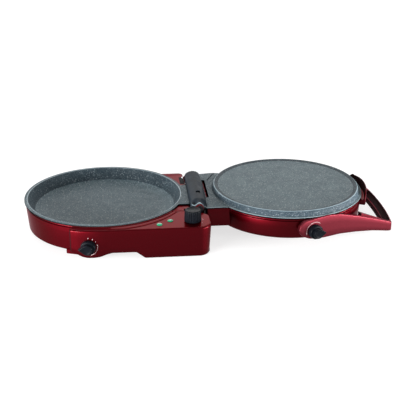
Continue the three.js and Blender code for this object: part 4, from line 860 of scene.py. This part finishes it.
right_z, left_z = 62.9, 60.4
right_edge = brought_down(arch, 0, right_z)
loop = np.concatenate([
    right_edge, arch, brought_down(arch, -1, left_z), brought_down(inner, -1, left_z),
    inner[:, ::-1], brought_down(inner, 0, right_z), right_edge], axis=1)
lip = np.stack([arch[0] + [0, back, up] for back, up in (
    (-0.2, 0.7), (-0.5, 0.3), (-0.5, -1.3), (-0.2, -1.7), (1.2, -1.7), (1.2, 0.7), (-0.2, 0.7))])
cover = make_piece(
    "hinge_arch", "lid", [loop, lip], slate_coat, ["upper_plate"], 50)
# The front lip's edge is a painted highlight.
recoat(cover, painted_edge_highlight, lambda x, y, z, n: (y < lip_y - 0.1) & (z > 64))
head = turned([(0, 73), (3.3, 73), (3.4, 75.2), (3.1, 75.9), (2.2, 76.4), (0, 76.5)],
              (screw_x, screw_y), 48)
make_piece("cover_screw", "lid", [head], black_plastic, ["hinge_cover_screw"])


# Lid housing. The round red shell under the upper plate, and its straight neck to the hinge.
# It is moulded and lacquered like the base: a groove runs under the plate's flange, and three
# screws from below draw the plate down on it.
wall = turned([
    (0.01, 17.7), (60, 17.7), (120, 17.7), (150.2, 17.75), (153.2, 18.3), (155.2, 19.8),
    (156.5, 22.2), (157.1, 25), (158.6, 42), (159.4, 55.9), (159.2, 56.4), (156.8, 56.6),
    (156.8, 58.2), (159.8, 58.3), (160.2, 58.8), (160.2, 60.4), (159.6, 61.2), (158.2, 61.3),
    (158.2, 62.3), (155.6, 62.3), (154.4, 25), (152, 20.4), (60, 20.2), (0.01, 20.2)],
    lid_centre, 180)
neck = slab(oblong(205, 262, -91, 91, 3, 0.5), 8, [
    (1.6, 23), (0.5, 23.4), (0, 24.5), (0, 61.6), (0.6, 62.4), (2.5, 62.4), (2.5, 25.6)])
rib = raised(rounded(oblong(210.4, 211.8, -60, 78, 0.3, 0.3), 2), [
    (0, 25.4), (0, 60.6), (0.3, 60.9)])
shell = make_piece(
    "lid_shell", "lid", [wall, neck, rib], red_lacquer, ["lid_housing"])
# The neck's end towards the hinge is painted shade.
recoat(shell, painted_shade_red, lambda x, y, z, n: (x < 209) & (n[0] < -0.3))


# Handle. Two arms from hubs on the lid's sides to a bowed crossbar, one closed U of moulding.
# Each arm is a broad flat strap, 9 mm thick, that sweeps down to the table at the far end. Its
# lacquer is a paler, pinker copy of the shells', as painted sheen, and the crossbar's inner side is
# painted darker, as painted shade.
# A paler copy of the red lacquer: painted sheen on the handle and on the guard's front faces.
painted_sheen_lacquer = lacquer("painted_sheen_lacquer", (79, 24, 31), (87, 29, 37))
arm_cosine, arm_sine = polar(1, arm_turn)
arm_start, arm_tip, arm_end, arm_out = -63.8, 161.3, 163, 164.6


def arm_side(along, out=arm_out):
    """The plan of the front arm: so far along the arm and so far out from its own middle."""
    return (lid_x + along * arm_cosine + out * arm_sine, along * arm_sine - out * arm_cosine)


tip_x, tip_y = arm_side(arm_tip)
front_line = np.stack(arm_side(np.r_[
    arm_start, -63.6, -63.2, -62.4, -61, -59, -56, -52, -47, np.arange(-42, 156, 3.0)]), -1)
bend = np.linspace(-1, 1, 61)[1:-1]
bar_line = np.stack([tip_x + 6 * (1 - bend ** 2), abs(tip_y) * bend], -1)
bar_line = bar_line[np.abs(bar_line[:, 1]) < abs(tip_y) - 9]
corner = rounded([(*arm_side(150), 0), (tip_x, tip_y, 7), (tip_x + 1.0, tip_y + 16, 0)], 8,
                 closed=False)[1:-1]
u_line = np.vstack([
    front_line, corner, bar_line, corner[::-1] * [1, -1], front_line[::-1] * [1, -1]])
u_normal = outward(u_line, closed=False)
on_bar = np.abs(u_line[:, 1]) < abs(tip_y) - 6
way = (u_line[:, 0] - lid_x) * arm_cosine - np.abs(u_line[:, 1]) * arm_sine
way = np.where(on_bar, arm_end, np.minimum(way, arm_end))

# The strap's upper and lower edges are lines over the way along the arm, smoothed past its hub.
fine = np.linspace(-64, 164, 457)
past_hub = np.clip((fine + 50) / 10, 0, 1)


def edge_line(at, height, width):
    """A line through points, averaged over so many half millimetres where it is past the hub."""
    table = np.interp(fine, at, height)
    table = table * (1 - past_hub) + smoothed(table, np.hanning(width)) * past_hub
    return np.interp(way, fine, table)


top_line = edge_line(
    [arm_start, -63.2, -61, -57, -52, -46, -40, -18.75, 4.25, 33.25, 58.25, 78.25, 116.25, 142.25,
     arm_tip, arm_end],
    [44, 49, 54, 58.6, 61.2, 62.2, 62.4, 64.2, 65.6, 61.8, 54.3, 48.9, 36.1, 27, 19.4, 18.5], 41)
low_line = np.maximum(edge_line(
    [arm_start, -63.2, -61, -57, -51.75, -44, -36.75, -20.75, -3.75, 32.25, 71.25, 111.25, 131.25,
     152.25, 161.25, arm_end],
    [43.5, 38.6, 34.6, 30.6, 27.3, 23.2, 20.8, 18.8, 17.6, 18.3, 15.1, 9.7, 5.6, 0.9, 0.05, 0.05],
    31), 0.02)
thick = smoothed(np.where(on_bar, 3.0, 9.0), np.ones(5))
rim = np.minimum(2.2, (top_line - low_line) / 2 - 0.02)

# Under the plate's flange the strap's top is cut back, so that it clears the housing.
inside = length(u_line - u_normal * thick[:, None] - lid_centre)[:, 0]
inner_top = thick - np.where(top_line > 60.5, np.clip(161.5 - inside, 0, 7.2), 0)


def strap_row(inset, height):
    """A row of the handle: the outer line drawn in by an inset, at one height for each point."""
    return np.column_stack([(u_line.T - u_normal.T * inset).T, height])


quarter = np.radians([0, 30, 60, 90])
rows = [strap_row(rim * (1 - math.sin(a)), low_line + rim * (1 - math.cos(a))) for a in quarter]
rows += [strap_row(0, low_line + rim + (top_line - low_line - 2 * rim) * part)
         for part in (0.33, 0.66)]
rows += [strap_row(rim * (1 - math.sin(a)), top_line - rim * (1 - math.cos(a)))
         for a in quarter[::-1]]
rows += [strap_row(np.maximum(inner_top - rim * 0.5, rim), top_line),
         strap_row(inner_top, top_line - rim * 0.5),
         strap_row(inner_top, np.maximum(np.minimum(top_line - rim * 0.7, 60.6), low_line + rim)),
         strap_row(thick, np.maximum(np.minimum(top_line - rim, 60.4), low_line + rim * 0.9))]

# On the crossbar the inner side runs out into a sloped foot.
bar_share = smoothed(on_bar.astype(float), np.ones(7))
middle_z = low_line + rim * 0.5 + 7 * bar_share
rows += [strap_row(thick + out * bar_share, middle_z + up * bar_share)
         for out, up in ((2.5, 3.5), (9, 0.9), (10, -0.1), (11, -2))]
rows += [strap_row(thick + 14 * bar_share, low_line + rim * 0.5),
         strap_row(thick + 13 * bar_share - rim * 0.5, low_line), rows[0]]
gusset_plan = np.array([(88, 155.8), (88, 144), (91, 143), (139, 155.8)])
gusset_top = np.interp(gusset_plan[:, 0], [88, 139], [49.5, 28.5])
gussets = []
for side in (1, -1):
    foot = np.stack(arm_side(*gusset_plan.T), -1) * [1, side]
    gussets.append(np.stack([level(foot, 12), level(foot, gusset_top - 0.6),
                             level(foot * 0.996 + foot.mean(0) * 0.004, gusset_top)]))
handle = make_piece(
    "swept_handle", "lid", [np.stack(rows), *gussets], painted_sheen_lacquer,
    ["handle"], 50)
# The crossbar's inner side is painted shade.
recoat(handle, painted_shade_red, lambda x, y, z, n: (
    (x > 515) & (n[0] < -0.25) & (np.abs(y) < 96) & (np.abs(n[2] - 0.7) > 0.1)))
hub_x, hub_y = arm_side(-29.5)
cap = placed(turned([
    (0, -4.4), (5.5, -4.4), (5.5, 0.3), (10.6, 0.3), (11, 0.8), (11, 1.8), (10.2, 2.6), (8.4, 3),
    (0, 3)], steps=64), (hub_x, -hub_y, upper_dial[2]),
    (arm_cosine, -arm_sine, 0), (0, 0, 1), (arm_sine, arm_cosine, 0))
make_piece("hub_cap", "lid", [cap], black_plastic, ["rear_hub_cap"])


# Rim guard. A curved red lip that stands up beyond the plate's far edge, lower at its far end.
# It is moulded separately, on a root that two screws hold to the lid's wall.
guard_turn = np.radians(np.linspace(-23, 23, 61))
guard_end = np.clip((np.abs(np.degrees(guard_turn)) - 17) / 6, 0, 1)
guard_fall = np.clip((np.degrees(guard_turn) - 3) / 14, 0, 1) ** 1.5 * (1 - guard_end)
top, low = 74 - 14 * guard_end ** 2.2 - 3.5 * guard_fall, 44 + 3 * guard_end ** 3
guard_rows = [
    (158, low + 0.3), (169.6, low), (170.6, low + 0.5), (171, low + 1.8), (171, (low + top) / 2),
    (171, top - 1), (170.7, top - 0.2), (170.2, top), (169.7, top), (169.2, top - 0.3),
    (169, top - 1), (168.4, low + 12), (167.6, low + 10.6), (166, low + 10), (158, low + 10),
    (158, low + 0.3)]
grid = np.stack([circled(radius, guard_turn, z, lid_centre) for radius, z in guard_rows])
guard = make_piece("plate_guard", "lid", [grid], red_lacquer, ["rim_guard"], 50)


def inner_face(x, y, z, n):
    """The side that looks towards the plate's middle, except near its front end."""
    out = unit(np.stack([x, y], -1) - lid_centre)
    return ((n[:2].T * out).sum(1) < -0.5) & (y > -52)


# The guard's inward face is painted shade.
recoat(guard, painted_shade_red, inner_face)
# The guard's front faces take the paler lacquer, as painted sheen.
recoat(guard, painted_sheen_lacquer, lambda x, y, z, n: n[1] < -0.8)


# Studio. A pale floor that turns white far off, under a white surround. Two soft boxes stand on
# the left and right of the front, low down, and two broad ones behind. None is part of the object.
def background_rays(tree):
    """One for rays from the camera, a mirror or glass, and zero for the light on the object."""
    rays = add_node(tree, "LightPath").outputs
    total = rays["Is Camera Ray"]
    for kind in ("Is Glossy Ray", "Is Transmission Ray"):
        total = reckon(tree, "MAXIMUM", total, rays[kind])
    return total


white = (1, 1, 1, 1)
span = 9.0
floor_mesh = bpy.data.meshes.new("floor")
floor_mesh.from_pydata([(-span, -span, 0), (span, -span, 0), (span, span, 0), (-span, span, 0)],
                       [], [(0, 1, 2, 3)])
floor = add_object("floor", floor_mesh)
floor_paint = bpy.data.materials.new("floor")
floor_paint.use_nodes = True
tree = floor_paint.node_tree
reach = add_node(tree, "VectorMath", {0: add_node(tree, "TexCoord").outputs["Object"]})
reach.operation = "LENGTH"
far_white = add_node(tree, "MapRange", {
    "Value": reach.outputs["Value"], "From Min": 0.8, "From Max": 2.4, "To Min": 0.7,
    "To Max": 1.0})
far_white.interpolation_type = "SMOOTHSTEP"
lift = reckon(tree, "MULTIPLY", background_rays(tree), far_white.outputs["Result"])
feed(tree.nodes["Principled BSDF"], {
    "Base Color": (0.38, 0.38, 0.38, 1), "Roughness": 0.9, "Specular IOR Level": 0.1,
    "Emission Color": white, "Emission Strength": lift})
floor_mesh.materials.append(floor_paint)

world = bpy.data.worlds.new("studio")
world.use_nodes = True
bpy.context.scene.world = world
tree = world.node_tree
tree.nodes.clear()
room, surround = (add_node(tree, "Background", {"Color": white, "Strength": strength})
                  for strength in (0.22, 1.0))
pick = add_node(tree, "MixShader", {
    0: background_rays(tree), 1: room.outputs["Background"], 2: surround.outputs["Background"]})
add_node(tree, "OutputWorld", {"Surface": pick.outputs["Shader"]})


def soft_box(name, middle, target, wide, high, power):
    """A rectangular soft light of a width and a height in metres, turned to face a point."""
    lamp = bpy.data.lights.new(name, "AREA")
    lamp.shape = "RECTANGLE"
    lamp.size, lamp.size_y, lamp.energy = wide, high, power
    add_object(name, lamp).matrix_world = aimed(middle, Vector(target) - Vector(middle))


soft_box("left_box", (-1.35, -0.95, 0.19), (-0.2, 0, 0.05), 1.1, 0.36, 84)
soft_box("right_box", (1.5, -0.62, 0.19), (0.2, 0, 0.05), 1.1, 0.36, 64)
soft_box("back_box", (0.05, 1.6, 0.74), (0, 0, 0.06), 2.8, 0.5, 11)
soft_box("high_box", (-0.1, 1.15, 1.35), (0, 0, 0.06), 1.8, 0.7, 16)
